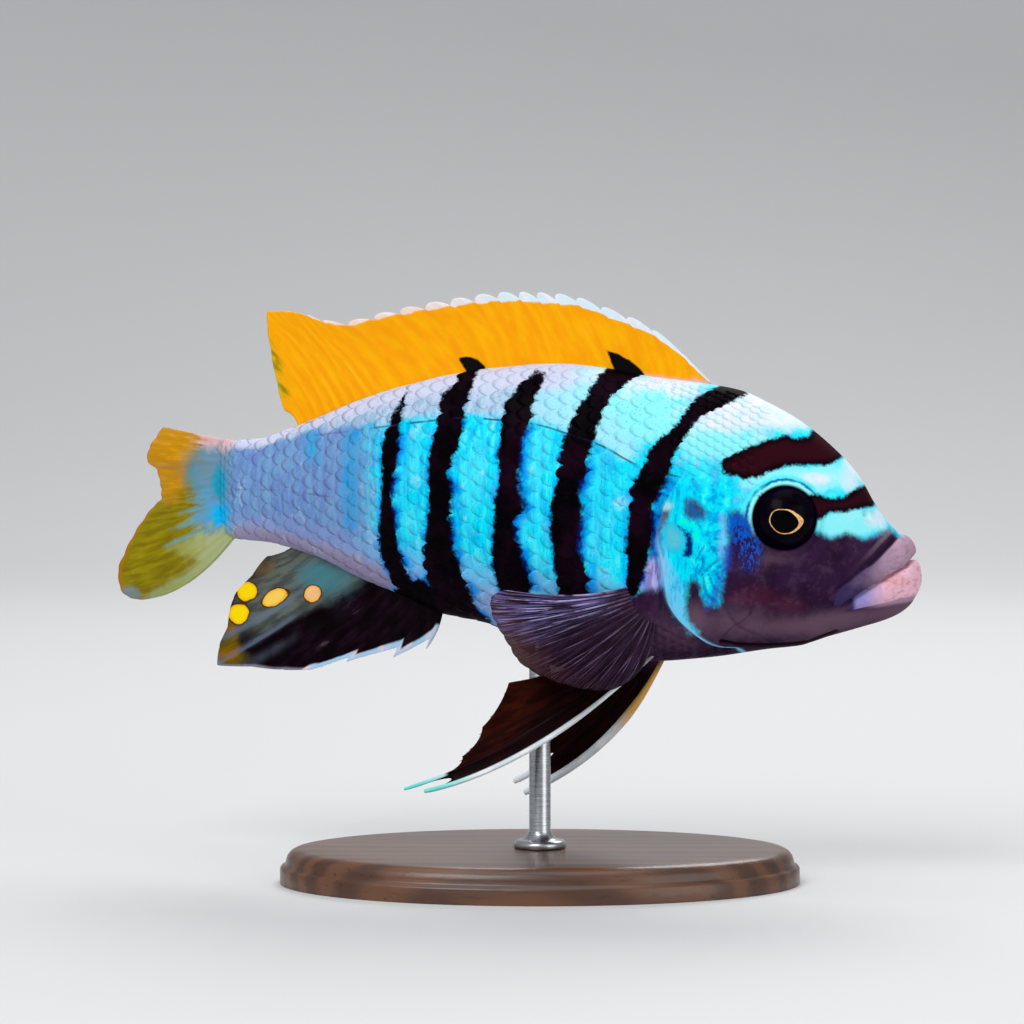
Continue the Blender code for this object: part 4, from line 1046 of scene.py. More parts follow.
def on_fin(rays, u, v):
    """A place on the fin: u counts the rays, and v runs from 0 at the root to 1 at the tip."""
    share = np.asarray(u, float) / (len(rays) - 1)
    root, bend, tip = (path(rays[:, k], share) for k in range(3))
    v = np.asarray(v, float)[..., None]
    return root * (1 - v) ** 2 + bend * 2 * v * (1 - v) + tip * v * v


def across_fin(rays, u, v):
    """The way out of the fin's left face."""
    step = 0.02
    along = on_fin(rays, u, v + step) - on_fin(rays, u, v - step)
    count = on_fin(rays, u + step, v) - on_fin(rays, u - step, v)
    out = np.cross(along, count)
    out *= np.sign(out[..., 1:2].mean())
    return out / np.maximum(np.linalg.norm(out, axis=-1, keepdims=True), 1e-9)


def ray_lengths(rays, u):
    """How long the rays are, in millimetres, measured along their bow."""
    line = on_fin(rays, np.broadcast_to(u, (9, *np.shape(u))), np.linspace(0, 1, 9)[:, None])
    return np.linalg.norm(np.diff(line, axis=0), axis=-1).sum(axis=0)


def mark_fin(mesh, points, rays, u, v, left, extra):
    """The fields that every fin has, and those that its own function gives."""
    length = ray_lengths(rays, u.ravel()).reshape(u.shape)
    place = {"u": u, "v": v, "x": points[..., 0], "z": points[..., 2], "edge": left * length,
             "length": length, "share": u / (len(rays) - 1)}
    weave = np.stack([u * 1.6, v * length, 0 * u], -1).reshape(-1, 3)
    store(mesh, weave=weave, between=(0.5 - 0.5 * np.cos(2 * np.pi * u)).ravel(),
          **{name: field.ravel() for name, field in extra(place).items()})


def build_membrane(name, rays, reach, finish, slot_name, extra, node, thick, fine, wave=0.0, level=False):
    """A thin closed sheet over the rays, thicker at its root and pulled in between the rays."""
    u = np.linspace(0, len(rays) - 1, (len(rays) - 1) * fine[0] + 1)
    u, v = np.meshgrid(u, np.linspace(0, 1, fine[1]), indexing="ij")
    far = v * reach(u)
    out = across_fin(rays, u, far)
    if level:
        out = np.broadcast_to(out.mean(axis=(0, 1)) / np.linalg.norm(out.mean(axis=(0, 1))), out.shape)
    middle = on_fin(rays, u, far) + out * (wave * far * np.cos(2 * np.pi * u))[..., None]
    half = thick * (0.65 + 0.9 * (1 - far) ** 2 + 0.35 * np.cos(2 * np.pi * u) * (1 - v * v))
    half = half * (1 - 0.6 * v ** 6)
    faces_at = np.stack([middle - out * half[..., None], middle + out * half[..., None]])
    quads, rim, shift = grid_quads(*u.shape), grid_rim(*u.shape), u.size
    ahead = np.roll(rim, -1)
    walls = np.stack([rim, ahead, ahead + shift, rim + shift], -1)
    mesh = plain_mesh(name, faces_at.reshape(-1, 3) * MM,
                      np.concatenate([quads[:, ::-1], quads + shift, walls]))
    both = [np.stack([f, f]) for f in (u, far, reach(u) * (1 - v))]
    mark_fin(mesh, faces_at, rays, *both, extra)
    merge_doubles(mesh)
    return new_piece(name, mesh, finish, slot_name, node)


def make_ray_tree():
    """Sweeps a round profile along each line, as thick as the line's own 'thick' says."""
    tree, keys, given = new_tree("ray_tubes", ("Sides", "Int", 8), ("Thickness scale", "Float", MM),
                                 ("Finish", "Material", None))

    def add(kind, inputs=(), out=0, **settings):
        return add_node(tree, kind, inputs, out, **settings)

    lines = add("GeometryNodeMeshToCurve", {"Mesh": given["Geometry"]})
    thick = add("GeometryNodeInputNamedAttribute", {"Name": "thick"}, "Attribute", data_type="FLOAT")
    size = add("ShaderNodeMath", {0: thick, 1: given["Thickness scale"]}, operation="MULTIPLY")
    ring = add("GeometryNodeCurvePrimitiveCircle", {"Resolution": given["Sides"], "Radius": 1.0})
    tube = add("GeometryNodeCurveToMesh", {"Curve": lines, "Profile Curve": ring, "Scale": size,
                                           "Fill Caps": True})
    end_tree(tree, add("GeometryNodeRealizeInstances", {"Geometry": tube}), given["Finish"])
    return tree, keys


ray_tree, ray_keys = make_ray_tree()


def ray_lines(count, first_soft, reach, thick):
    """Lines of (u, v, thickness) down each ray. A spine is one line, and a soft ray forks twice."""
    lines = []
    for k in range(count):
        end = float(reach(np.array(k))) * RAYS_STOP_AT
        if k < first_soft:
            v = np.linspace(0.0, end, 26)
            lines.append((np.full(26, float(k)), v, thick * (1.15 - 0.95 * (v / end) ** 1.3)))
            continue
        v = np.linspace(0.0, 0.5 * end, 14)
        lines.append((np.full(14, float(k)), v, thick * (1.0 - 0.35 * v / end)))
        for fork in (-1, 1):
            v = np.linspace(0.46 * end, 0.8 * end, 11)
            u = k + fork * 0.16 * rise_over(v / end, 0.46, 0.78)
            lines.append((u, v, thick * (0.8 - 0.4 * v / end)))
            for twig in (-1, 1):
                v = np.linspace(0.77 * end, end, 9)
                u = k + fork * (0.16 + 0.05 * (v / end - 0.77)) + twig * 0.075 * rise_over(v / end, 0.77, 1.0)
                lines.append((u, v, thick * (0.62 - 0.4 * v / end)))
    return lines


def build_rays(name, rays, lines, finish, slot_name, extra, wave=0.0, level=False, sides=8):
    """A round tube along each line of (u, v, thickness)."""
    points, ends, fields = [], [], []
    for u, v, thick in lines:
        u = np.clip(u, 0, len(rays) - 1)
        out = across_fin(rays, u, v)
        if level:
            out = np.broadcast_to(out.mean(axis=0), out.shape)
        start = sum(len(p) for p in points)
        points.append(on_fin(rays, u, v) + out * (wave * v * np.cos(2 * np.pi * u))[..., None])
        ends += [(start + k, start + k + 1) for k in range(len(u) - 1)]
        fields.append(np.stack([u, v, thick], -1))
    points, fields = np.concatenate(points), np.concatenate(fields)
    mesh = bpy.data.meshes.new(name)
    mesh.from_pydata([tuple(p * MM) for p in points], ends, [])
    u, v, thick = fields.T
    mark_fin(mesh, points, rays, u, v, 1 - v, extra)
    store(mesh, thick=thick)
    made = grow(mesh, ray_tree, ray_keys, sides=sides, thickness_scale=MM, finish=finish)
    return new_piece(name, made, finish, slot_name)


def lobes(first, last):
    """How a margin swells between the rays from first to last."""
    def at(u):
        t = np.mod(u, 1.0)
        here = rise_over(u, first - 0.05, first) * (1 - rise_over(u, last, last + 0.05))
        return here * (np.abs(np.sin(np.pi * t)) ** 0.7 - 0.6)
    return at


dorsal_places = np.concatenate([
    np.linspace(DORSAL_EDGE[0][0], DORSAL_SOFT_FROM + 1.6, DORSAL_SPINES),
    np.linspace(DORSAL_SOFT_FROM, DORSAL_EDGE[-1][0], DORSAL_RAYS)])
dorsal_rays = bowed(*rays_from_edge(dorsal_places, DORSAL_EDGE, back, FIN_SUNK), DORSAL_BOW)
spine_lobes = lobes(0, DORSAL_SPINES)
soft_lobes = lobes(DORSAL_SPINES, len(dorsal_rays) - 1)


def dorsal_reach(u):
    """How far the skin runs out along the rays, as a share of their length."""
    length = ray_lengths(dorsal_rays, np.ravel(u)).reshape(np.shape(u))
    return 1.0 + (spine_lobes(u) + 0.18 * soft_lobes(u)) / np.maximum(length, 2.0)


def mark_dorsal(at):
    """Pale flaps, a pink root in front, and the two bars that run up into the fin."""
    wide = curve(FLAP_WIDTH)(at["share"])
    return {"bars": inside(at["x"], at["z"], [BARS[0], BARS[2]] + FIN_FLARES),
            "flap": 0.95 * wide - (1 - at["v"]) * at["length"] - 0.35 + 0.35 * np.mod(at["u"], 1.0),
            "root": 1.5 - at["v"] * at["length"] - 1.5 * rise_over(at["share"], 0.12, 0.35),
            "green": patches(at["x"], at["z"], [(-32.0, 59.2, 1.6, 4.4, 1.2), (-30.9, 55.8, 1.5, 2.4, 1.2)]),
            "cream": patches(at["x"], at["z"], [(-30.9, 56.0, 0.9, 1.6, 1.1)]),
            "peach": rise_over(at["share"], 0.3, 0.55)}


def paint_dorsal():
    """Plain orange skin with pale flaps, a green rear edge and a pink front root."""
    paint = Paint("orange_fin_skin", Roughness=0.42, Coat_Weight=0.03, Specular_IOR_Level=0.07)
    streaks = paint.ray_streaks(1.1, 0.22, 1.3)
    wobble = paint.sums("MULTIPLY_ADD", paint.noise(1.0, 3.0), 1.0, -0.5)
    flap = paint.sums("ADD", paint.field("flap"), paint.times(wobble, 0.7))
    flap_tint = paint.mix(paint.field("peach"), tint(216, 236, 244), tint(246, 214, 196))
    orange = paint.coats(
        paint.shades(streaks, 0.36, 0.68, tint(252, 162, 0), tint(255, 178, 0)),
        (paint.times(paint.over("between", 0.3, 0.0), 0.12), tint(236, 130, 0)),
        (paint.over(paint.nudge(streaks, 1.8, paint.field("green")), 0.3, 1.2),
         paint.shades(streaks, 0.42, 0.62, tint(222, 178, 4), tint(134, 124, 8))),
        (paint.over(paint.nudge(streaks, 3.4, paint.field("cream")), 0.7, 1.2), tint(214, 206, 150)),
        (paint.over(flap, -0.05, 0.28),
         paint.mix(paint.over(streaks, 0.45, 0.7), flap_tint, tint(240, 238, 246))),
        (paint.over(paint.sums("ADD", paint.field("root"), wobble), 0.2, 0.9), tint(242, 176, 170)),
        (paint.over(paint.sums("MULTIPLY_ADD", wobble, 0.4, paint.field("bars")), -0.1, 0.15), BLACK))
    return paint.finish(orange, paint.bump(streaks, 0.025))


dorsal_skin = paint_dorsal()
build_membrane("dorsal_membrane", dorsal_rays, dorsal_reach, dorsal_skin, "orange_fin", mark_dorsal,
               "dorsal_fin", thick=0.13, fine=(10, 40))
build_rays("dorsal_rays", dorsal_rays, ray_lines(len(dorsal_rays), DORSAL_SPINES, dorsal_reach, 0.17),
           dorsal_skin, "orange_fin", mark_dorsal)

# The anal fin. Three short spines and nine soft rays carry a nearly black skin, with pale tips in
# front, grey streaks behind and the yellow egg spots that a male shows at its rear edge.
ANAL_SPINES, ANAL_RAYS = 3, 9
ANAL_SPINES_TO, ANAL_SOFT_FROM = -14.6, -16.2
ANAL_EDGE = [(-11.3, -13.2, 26.7), (-12.9, -16.9, 25.6), (-14.4, -21.9, 25.0), (-15.9, -26.0, 23.9),
             (-17.4, -29.6, 23.6), (-18.9, -33.2, 23.8), (-20.5, -38.2, 23.7), (-22.1, -38.0, 25.8),
             (-23.6, -37.0, 28.3), (-25.2, -36.2, 31.9), (-26.7, -33.8, 34.8), (-28.1, -32.2, 36.9)]
ANAL_BOW = (0.6, 0.0, -0.6)
EGG_SPOTS = [(-34.5, 32.7, 1.3, 1.1, 0.5), (-35.5, 30.0, 1.25, 1.2, 0.3), (-31.1, 32.1, 1.7, 0.95, 0.5),
             (-26.6, 32.7, 1.1, 1.0, 0.7)]
NOTCH_DEPTH = ((0.0, 1.0, 1.001, 2.0, 2.001, 3.0, 3.001), (2.0, 2.0, 2.1, 2.1, 1.3, 1.3, 0.0))
anal_places = np.concatenate([np.linspace(ANAL_EDGE[0][0], ANAL_SPINES_TO, ANAL_SPINES),
                              np.linspace(ANAL_SOFT_FROM, ANAL_EDGE[-1][0], ANAL_RAYS)])
anal_rays = bowed(*rays_from_edge(anal_places, ANAL_EDGE, belly, -FIN_SUNK), ANAL_BOW)
anal_lobes = lobes(ANAL_SPINES + 1, len(anal_rays) - 1)


def anal_reach(u):
    length = ray_lengths(anal_rays, np.ravel(u)).reshape(np.shape(u))
    behind = np.mod(u, 1.0)
    notch = np.interp(u, *NOTCH_DEPTH) * rise_over(behind, 0.0, 0.16) * (1 - behind) ** 0.7
    return 1.0 + (0.15 * anal_lobes(u) - notch) / np.maximum(length, 3.0)


def egg_depth(x, z):
    """How deep inside an egg spot each place is, above 0, and how pale that spot is."""
    depth, pale = np.full(x.shape, -9.0), np.zeros(x.shape)
    for across, up, wide, tall, tilt in EGG_SPOTS:
        turn = (x - across) * math.cos(tilt) + (z - up) * math.sin(tilt)
        lift = (z - up) * math.cos(tilt) - (x - across) * math.sin(tilt)
        here = 1 - np.hypot(turn / wide, lift / tall)
        pale = np.where(here > depth, rise_over(across, -34.5, -27.0), pale)
        depth = np.maximum(depth, here)
    return depth, pale


def mark_anal(at):
    """Egg spots, grey streaks and olive patches behind, and pale tips in front."""
    x, z, u, v = at["x"], at["z"], at["u"], at["v"]
    depth, pale = egg_depth(x, z)
    streak = sum(strong * bump_at(u - place, 0.3) * rise_over(v, low, low + 0.3)
                 for place, low, strong in ((6.2, 0.3, 1.0), (7.5, 0.2, 1.1), (5.1, 0.55, 0.5)))
    first_spine = 2.6 * (0.22 - u) / 0.22 * rise_over(v, 0.3, 0.6)
    olive = [(-37.6, 24.9, 2.6, 1.5, 1.4), (-36.5, 27.6, 1.0, 2.2, 0.8), (-33.0, 35.4, 3.0, 2.2, 0.45)]
    return {"egg": depth, "egg_pale": pale,
            "grey": rise_over(u + 2.2 * (1 - v), 6.3, 8.3) * (1 - 0.55 * rise_over(v, 0.5, 1.0)),
            "teal": patches(x, z, [(-25.2, 34.6, 4.0, 2.2, 0.9), (-31.0, 30.6, 2.6, 1.0, 0.4)]),
            "olive": np.clip(patches(x, z, olive), 0, 1),
            "streak": streak * (1.15 - 0.5 * v),
            "margin": (0.9 - at["edge"]) * rise_over(u, 2.4, 3.2) * (1 - rise_over(u, 5.6, 7.4)),
            "tip": np.maximum(1.75 - at["edge"], first_spine) * (1 - rise_over(u, 3.0, 3.5))}


def paint_anal():
    """Nearly black skin with grey, olive and pale streaks, and yellow egg spots."""
    paint = Paint("black_fin_skin", Roughness=0.45, Coat_Weight=0.012, Specular_IOR_Level=0.03)
    streaks = paint.ray_streaks(1.0, 0.2, 1.4)
    cloud = paint.noise(3.0, 4.0)

    def patch(name, low=0.1, high=0.9, push=0.7):
        return paint.over(paint.nudge(cloud, push, paint.field(name)), low, high)

    tip = paint.over(paint.sums("MULTIPLY_ADD", streaks, 0.8, paint.field("tip")), 0.5, 1.1)
    spot = paint.nudge(paint.noise(1.4, 3.0), 0.5, paint.field("egg"))
    egg = paint.coats(
        paint.mix(paint.field("egg_pale"), tint(255, 222, 8), tint(252, 196, 132)),
        (paint.times(paint.over(spot, 0.4, 0.05), 0.7), tint(250, 174, 10)))
    dark = paint.coats(
        paint.shades(streaks, 0.4, 0.7, tint(7, 0, 5), tint(26, 8, 22)),
        (patch("grey"), paint.shades(streaks, 0.4, 0.6, tint(98, 104, 98), tint(70, 76, 70))),
        (patch("teal"), tint(70, 126, 136)),
        (patch("olive", 0.2), paint.shades(streaks, 0.4, 0.6, tint(96, 80, 10), tint(140, 92, 4))),
        (paint.times(patch("streak", 0.0, 1.1, 0.4), 0.75), tint(104, 118, 138)),
        (patch("margin", 0.1, 0.8), tint(136, 130, 148)),
        (tip, paint.shades(streaks, 0.45, 0.65, tint(168, 206, 236), tint(236, 214, 220))),
        (paint.over(spot, -0.14, 0.0), tint(70, 30, 2)),
        (paint.over(spot, 0.0, 0.1), egg))
    return paint.finish(dark, paint.bump(streaks, 0.05))


anal_skin = paint_anal()
build_membrane("anal_membrane", anal_rays, anal_reach, anal_skin, "dark_fin", mark_anal, "anal_fin",
               thick=0.12, fine=(14, 48))
build_rays("anal_rays", anal_rays, ray_lines(len(anal_rays), ANAL_SPINES, anal_reach, 0.19),
           anal_skin, "dark_fin", mark_anal)

# The tail fin. Sixteen forked rays fan out from the tail stalk in loose pleats, swung to the left.
# Its upper lobe is orange and its lower lobe olive, from a sky blue root.
TAIL_RAYS = 16
TAIL_TIPS = [(-45.6, 29.5, 51.6), (-46.7, 29.0, 49.9), (-47.6, 28.5, 48.0), (-46.2, 27.6, 46.4),
             (-45.7, 26.6, 44.7), (-45.5, 26.0, 43.3), (-46.7, 25.8, 41.9), (-48.4, 25.6, 39.5),
             (-50.0, 25.4, 36.5), (-50.8, 25.2, 33.9), (-50.1, 25.0, 31.6), (-48.1, 24.5, 30.9)]
TAIL_ROOT_X = -36.2
TAIL_ROOT_Z = (50.35, 38.95)
TAIL_PLEAT = 0.05
TAIL_BOWS = np.array([(-0.6, -0.8, 0.0), (0.2, 0.0, -3.3)])
tail_share = np.linspace(0, 1, TAIL_RAYS)
tail_root_z = TAIL_ROOT_Z[0] + (TAIL_ROOT_Z[1] - TAIL_ROOT_Z[0]) * tail_share
tail_roots = np.stack([0 * tail_share + TAIL_ROOT_X, 0 * tail_share + backbone(TAIL_ROOT_X), tail_root_z],
                      -1)
lower_share = tail_share[:, None] ** 3
tail_rays = bowed(tail_roots, path(TAIL_TIPS, tail_share),
                  TAIL_BOWS[0] * (1 - lower_share) + TAIL_BOWS[1] * lower_share)
tail_lobes = lobes(0, TAIL_RAYS - 1)


def tail_reach(u):
    return 1.0 + 0.003 * tail_lobes(u)


def mark_tail(at):
    """An orange upper lobe, an olive lower one with a pale hem, and blue lines between the low rays."""
    x, z, u, v = at["x"], at["z"], at["u"], at["v"]
    fan = sum(bump_at(u - place, 0.34) for place in (7.6, 8.9, 10.1, 11.2))
    lower = np.clip(1.3 - (TAIL_RAYS - 1 - u) * (0.35 + 0.75 * v), 0, 1.3)
    return {"near_body": rise_over(x, -43.6, -38.2),
            "fan": fan * rise_over(v, 0.05, 0.2) * rise_over(0.75 - v, 0.0, 0.35),
            "gold": patches(x, z, [(-45.0, 49.5, 4.4, 4.0, 1.3), (-39.4, 51.0, 3.2, 0.9, 1.2),
                                   (-45.0, 45.0, 2.6, 3.0, 0.8)]),
            "blue": np.clip(patches(x, z, [(-39.2, 46.6, 3.4, 3.0, 1.4)]), 0, 1),
            "azure": patches(x, z, [(-38.2, 41.8, 1.9, 1.6, 1.1)]),
            "beige": patches(x, z, [(-40.2, 37.6, 3.8, 1.7, 1.0)]),
            "lower": lower * rise_over(1.02 - v, 0, 0.2),
            "upper": np.clip(1.1 - u, 0, 1) * rise_over(0.4 - v, 0.0, 0.25),
            "rust": np.clip(1.5 - at["edge"], 0, 1.5) * rise_over(u, 6.0, 9.0) * 0.6,
            "tip": patches(x, z, [(-49.2, 31.7, 1.5, 1.0, 1.0)])}


def paint_tail():
    """Olive skin, orange above, with the sky blue of the tail's root."""
    paint = Paint("tail_fin_skin", Roughness=0.42, Coat_Weight=0.03, Specular_IOR_Level=0.07)
    streaks = paint.ray_streaks(1.1, 0.16, 1.4, 5.0)
    cloud = paint.noise(1.6, 4.0)

    def patch(name, low=0.2, high=0.9, push=0.5):
        return paint.over(paint.nudge(cloud, push, paint.field(name)), low, high)

    near_body = paint.nudge(cloud, 0.8, paint.nudge(streaks, 1.6, paint.field("near_body")))
    skin = paint.coats(
        paint.shades(streaks, 0.35, 0.65, tint(122, 106, 0), tint(148, 134, 0)),
        (patch("gold"), paint.shades(streaks, 0.4, 0.7, tint(196, 138, 0), tint(220, 154, 0))),
        (patch("rust"), tint(176, 116, 4)),
        (patch("beige"), tint(160, 162, 84)),
        (patch("blue"), paint.shades(cloud, 0.4, 0.65, tint(118, 142, 132), tint(72, 150, 160))),
        (paint.times(patch("fan", 0.2, 1.0, 0.8), 0.8), tint(104, 160, 154)),
        (patch("azure"), tint(0, 176, 232)),
        (patch("lower", 0.15, 1.15, 0.9),
         paint.shades(streaks, 0.4, 0.65, tint(166, 168, 86), tint(150, 176, 132))),
        (patch("upper"), tint(246, 196, 196)),
        (patch("tip"), tint(122, 142, 142)),
        (paint.over(near_body, 0.2, 1.0), root_tints(paint)))
    return paint.finish(skin, paint.bump(streaks, 0.03))


tail_skin = paint_tail()
build_membrane("tail_membrane", tail_rays, tail_reach, tail_skin, "olive_fin", mark_tail, "tail_fin",
               thick=0.14, fine=(10, 44), wave=TAIL_PLEAT)
build_rays("tail_rays", tail_rays, ray_lines(TAIL_RAYS, 0, tail_reach, 0.17), tail_skin, "olive_fin",
           mark_tail, wave=TAIL_PLEAT)

# The pelvic fins. Each is a small dark fan under the breast, with a thick white leading ray that
# runs out into a thread. The near one is swept back, and the far one hangs lower and further on.
PELVIC_RAYS = 6
PELVIC_ROOT_OFF, BREAST_HALF = 3.0, 7.0
PELVIC_NOTCH = ((0, 1, 1.001, 2, 2.001, 5), (0.17, 0.17, 0.2, 0.2, 0.04, 0.03))
PELVIC_FINS = {
    "right": {"side": -1, "root_x": (13.2, 9.0), "bow": ((-0.8, -5.2), (0.5, -0.8)),
              "lead": 0.32, "second": 0.05,
              "tips": [(-13.2, -8.5, 11.5), (-15.5, -8.0, 11.7), (-11.4, -7.5, 13.0), (-8.9, -7.0, 15.3),
                       (-6.6, -6.3, 18.6), (-3.6, -5.6, 23.6)]},
    "left": {"side": 1, "root_x": (14.4, 9.6), "bow": ((3.2, -3.4), (0.5, -0.8)),
             "lead": 0.56, "second": 0.24,
             "tips": [(-1.8, 7.0, 9.6), (-3.0, 7.0, 10.9), (-1.2, 6.8, 13.2), (-2.0, 6.4, 16.3),
                      (-1.9, 6.0, 19.5), (-1.0, 5.6, 23.0)]}}


def pelvic_layout(fin):
    """Rays from a short row under the breast, the front ones bowed the most."""
    share = np.linspace(0, 1, PELVIC_RAYS)
    front = (1 - share) ** 2
    x = fin["root_x"][0] + (fin["root_x"][1] - fin["root_x"][0]) * share
    low = belly(x) + 0.5 * (1 - np.sqrt(1 - (PELVIC_ROOT_OFF / BREAST_HALF) ** 2)) + FIN_SUNK
    roots = off_backbone(x, low, PELVIC_ROOT_OFF, fin["side"])
    bends = np.stack([fin["bow"][0][0] * front + fin["bow"][1][0] * (1 - front),
                      fin["side"] * 0.8 * (1 - share),
                      fin["bow"][0][1] * front + fin["bow"][1][1] * (1 - front)], -1)
    return bowed(roots, np.array(fin["tips"]), bends)


def pelvic_reach(u):
    return 1.0 - np.interp(u, *PELVIC_NOTCH) * np.sin(np.pi * np.mod(u, 1.0)) ** 0.8


def mark_pelvic(far):
    """The fin's markings. The far fin has a golden root, and the near one an aqua tip."""
    def at_place(at):
        thread = bump_at(at["u"] - 1, 0.12) * rise_over(at["v"], 0.78, 0.86)
        return {"lead": (1 - rise_over(at["u"], 0.0, 0.42)) + thread,
                "tip": rise_over(at["v"], 0.72, 0.95) * (1 - far),
                "golden": far * (1 - rise_over(at["v"], 0.3, 0.5)),
                "brown": rise_over(at["share"], 0.2, 0.8) * rise_over(at["v"], 0.25, 0.9),
                "root": 1 - rise_over(at["v"] * at["length"], 1.0, 3.5)}
    return at_place


def paint_pelvic():
    """Nearly black skin with a white leading ray."""
    paint = Paint("pelvic_fin_skin", Roughness=0.45, Coat_Weight=0.012, Specular_IOR_Level=0.03)
    streaks = paint.ray_streaks(1.0, 0.2, 1.4)
    white = paint.coats(
        paint.shades(streaks, 0.35, 0.7, tint(214, 226, 232), tint(246, 246, 248)),
        (paint.field("tip"), tint(112, 222, 214)),
        (paint.field("golden"), tint(232, 180, 96)))
    skin = paint.coats(
        paint.shades(streaks, 0.4, 0.7, tint(10, 0, 2), tint(30, 3, 5)),
        (paint.times(paint.field("brown"), 0.9),
         paint.shades(streaks, 0.4, 0.65, tint(34, 5, 2), tint(58, 18, 4))),
        (paint.over("lead", 0.35, 0.75), white),
        (paint.times(paint.field("root"), 0.6), tint(70, 42, 66)))
    return paint.finish(skin, paint.bump(streaks, 0.05))


pelvic_skin = paint_pelvic()
for word, fin in PELVIC_FINS.items():
    rays = pelvic_layout(fin)
    marks = mark_pelvic(float(word == "left"))
    lines = ray_lines(PELVIC_RAYS, 2, lambda u: 1.0 + 0 * u, 0.16)
    v = np.linspace(0, 1, 40)
    swell = 0.5 + 0.5 * rise_over(v, 0.08, 0.4)
    blunt = np.minimum(1, np.sqrt((1.02 - v) * 30))
    lines[0] = (0 * v, v, fin["lead"] * swell * (1.1 - 0.3 * v) * blunt)
    lines[1] = (0 * v + 1, v, (0.16 + fin["second"] * rise_over(v, 0.7, 0.9)) * blunt)
    build_membrane(f"pelvic_membrane_{word}", rays, pelvic_reach, pelvic_skin, "dark_fin", marks,
                   f"pelvic_fin_{word}", thick=0.1, fine=(14, 44), level=True)
    build_rays(f"pelvic_rays_{word}", rays, lines, pelvic_skin, "dark_fin", marks, level=True, sides=10)

# The pectoral fins. Fourteen fine rays fan out from a fleshy lobe behind each gill cover. The skin
# between them is clear enough for the flank's bars to show through.
PECTORAL_RAYS = 14
PECTORAL_TIPS = [(-4.2, 11.0, 34.6), (-5.7, 11.5, 33.4), (-5.4, 12.0, 31.8), (-4.6, 12.5, 30.2),
                 (-3.6, 12.5, 28.6), (-2.8, 12.5, 27.1), (-1.2, 12.5, 25.7), (1.3, 12.3, 24.5),
                 (3.9, 12.0, 23.7), (6.7, 11.5, 23.2), (9.0, 11.0, 23.7), (11.2, 10.0, 25.3)]
PECTORAL_ROOT = ((11.4, 34.8), (13.3, 31.0))
PECTORAL_SUNK = 0.7
PECTORAL_BOW, PECTORAL_DIP = (1.0, 1.2), -1.6
pectoral_lobes = lobes(0, PECTORAL_RAYS - 1)


def pectoral_layout(side):
    """Rays from the lobe behind a gill cover, fanning out, back and down."""
    share = np.linspace(0, 1, PECTORAL_RAYS)
    x, z = (PECTORAL_ROOT[0][k] + (PECTORAL_ROOT[1][k] - PECTORAL_ROOT[0][k]) * share for k in (0, 1))
    roots = off_backbone(x, z, flank(x, share_of(x, z)) - PECTORAL_SUNK, side)
    tips = path(PECTORAL_TIPS, share) * (1, side, 1) + (0, 2 * backbone(12.0) * (side > 0), 0)
    dip = PECTORAL_DIP * (1 - rise_over(share, 0.0, 0.45))
    bow = np.stack([0 * dip + PECTORAL_BOW[0], 0 * dip + side * PECTORAL_BOW[1], dip], -1)
    return bowed(roots, tips, bow)


def pectoral_reach(u):
    return 1.0 + 0.008 * pectoral_lobes(u)


def mark_pectoral(at):
    """A pale bluish upper half, which is a painted highlight, with an amber tip, and the flesh at the root.
    """
    return {"amber": rise_over(at["v"], 0.75, 1.0) * bump_at(at["share"] - 0.3, 0.3),
            "pale": rise_over(0.5 - at["share"], 0.0, 0.4) * rise_over(at["v"], 0.05, 0.4),
            "root": 1 - rise_over(at["v"], 0.04, 0.2)}


def paint_pectoral(name, base, light, pale, **fixed):
    """Thin smoky skin, or the paler bone of its rays."""
    paint = Paint(name, Roughness=0.4, Coat_Weight=0.02, Specular_IOR_Level=0.05, **fixed)
    streaks = paint.ray_streaks(2.2, 0.16, 1.6, 5.0)
    skin = paint.coats(
        paint.shades(streaks, 0.4, 0.66, base, light),
        (paint.times(paint.field("amber"), 0.75), tint(78, 42, 18)),
        # Painted highlight: pale bluish streaks over the fin's upper half.
        (paint.times(paint.field("pale"), paint.over(streaks, 0.42, 0.62)), pale),
        (paint.times(paint.field("root"), 0.7), tint(60, 36, 58)))
    return paint.finish(skin, paint.bump(streaks, 0.04))


# The third colour given is the pale bluish painted highlight.
pectoral_skin = paint_pectoral("clear_fin_skin", tint(20, 6, 18), tint(52, 30, 54), tint(96, 88, 140),
                               Alpha=0.85)
pectoral_bone = paint_pectoral("pectoral_ray_bone", tint(48, 28, 52), tint(96, 74, 104), tint(176, 164, 214))
for word, side in SIDES:
    rays = pectoral_layout(side)
    build_membrane(f"pectoral_membrane_{word}", rays, pectoral_reach, pectoral_skin, "dark_fin",
                   mark_pectoral, f"pectoral_fin_{word}", thick=0.045, fine=(8, 40))
    build_rays(f"pectoral_rays_{word}", rays, ray_lines(PECTORAL_RAYS, 1, pectoral_reach, 0.14),
               pectoral_bone, "dark_fin", mark_pectoral, sides=6)

# The stand: an oval base of oiled walnut with a moulded edge, and a turned steel rod with a wide
# foot. The rod runs a little way into the belly, so that no gap shows where they meet.
BASE_LENGTH, BASE_WIDTH, BASE_THICK = 60.0, 40.0, 4.0
ROD_RADIUS, FOOT_RADIUS, ROD_SUNK = 1.25, 3.0, 0.6
BASE_EDGE = [(1.0, 0.0), (1.0, 0.05), (1.0, 1.7), (0.86, 1.95), (0.5, 2.05), (0.36, 2.3), (0.3, 2.7),
             (0.12, 3.2), (-0.25, 3.62), (-0.75, 3.88), (-1.4, 4.0), (-6.0, 4.0)]


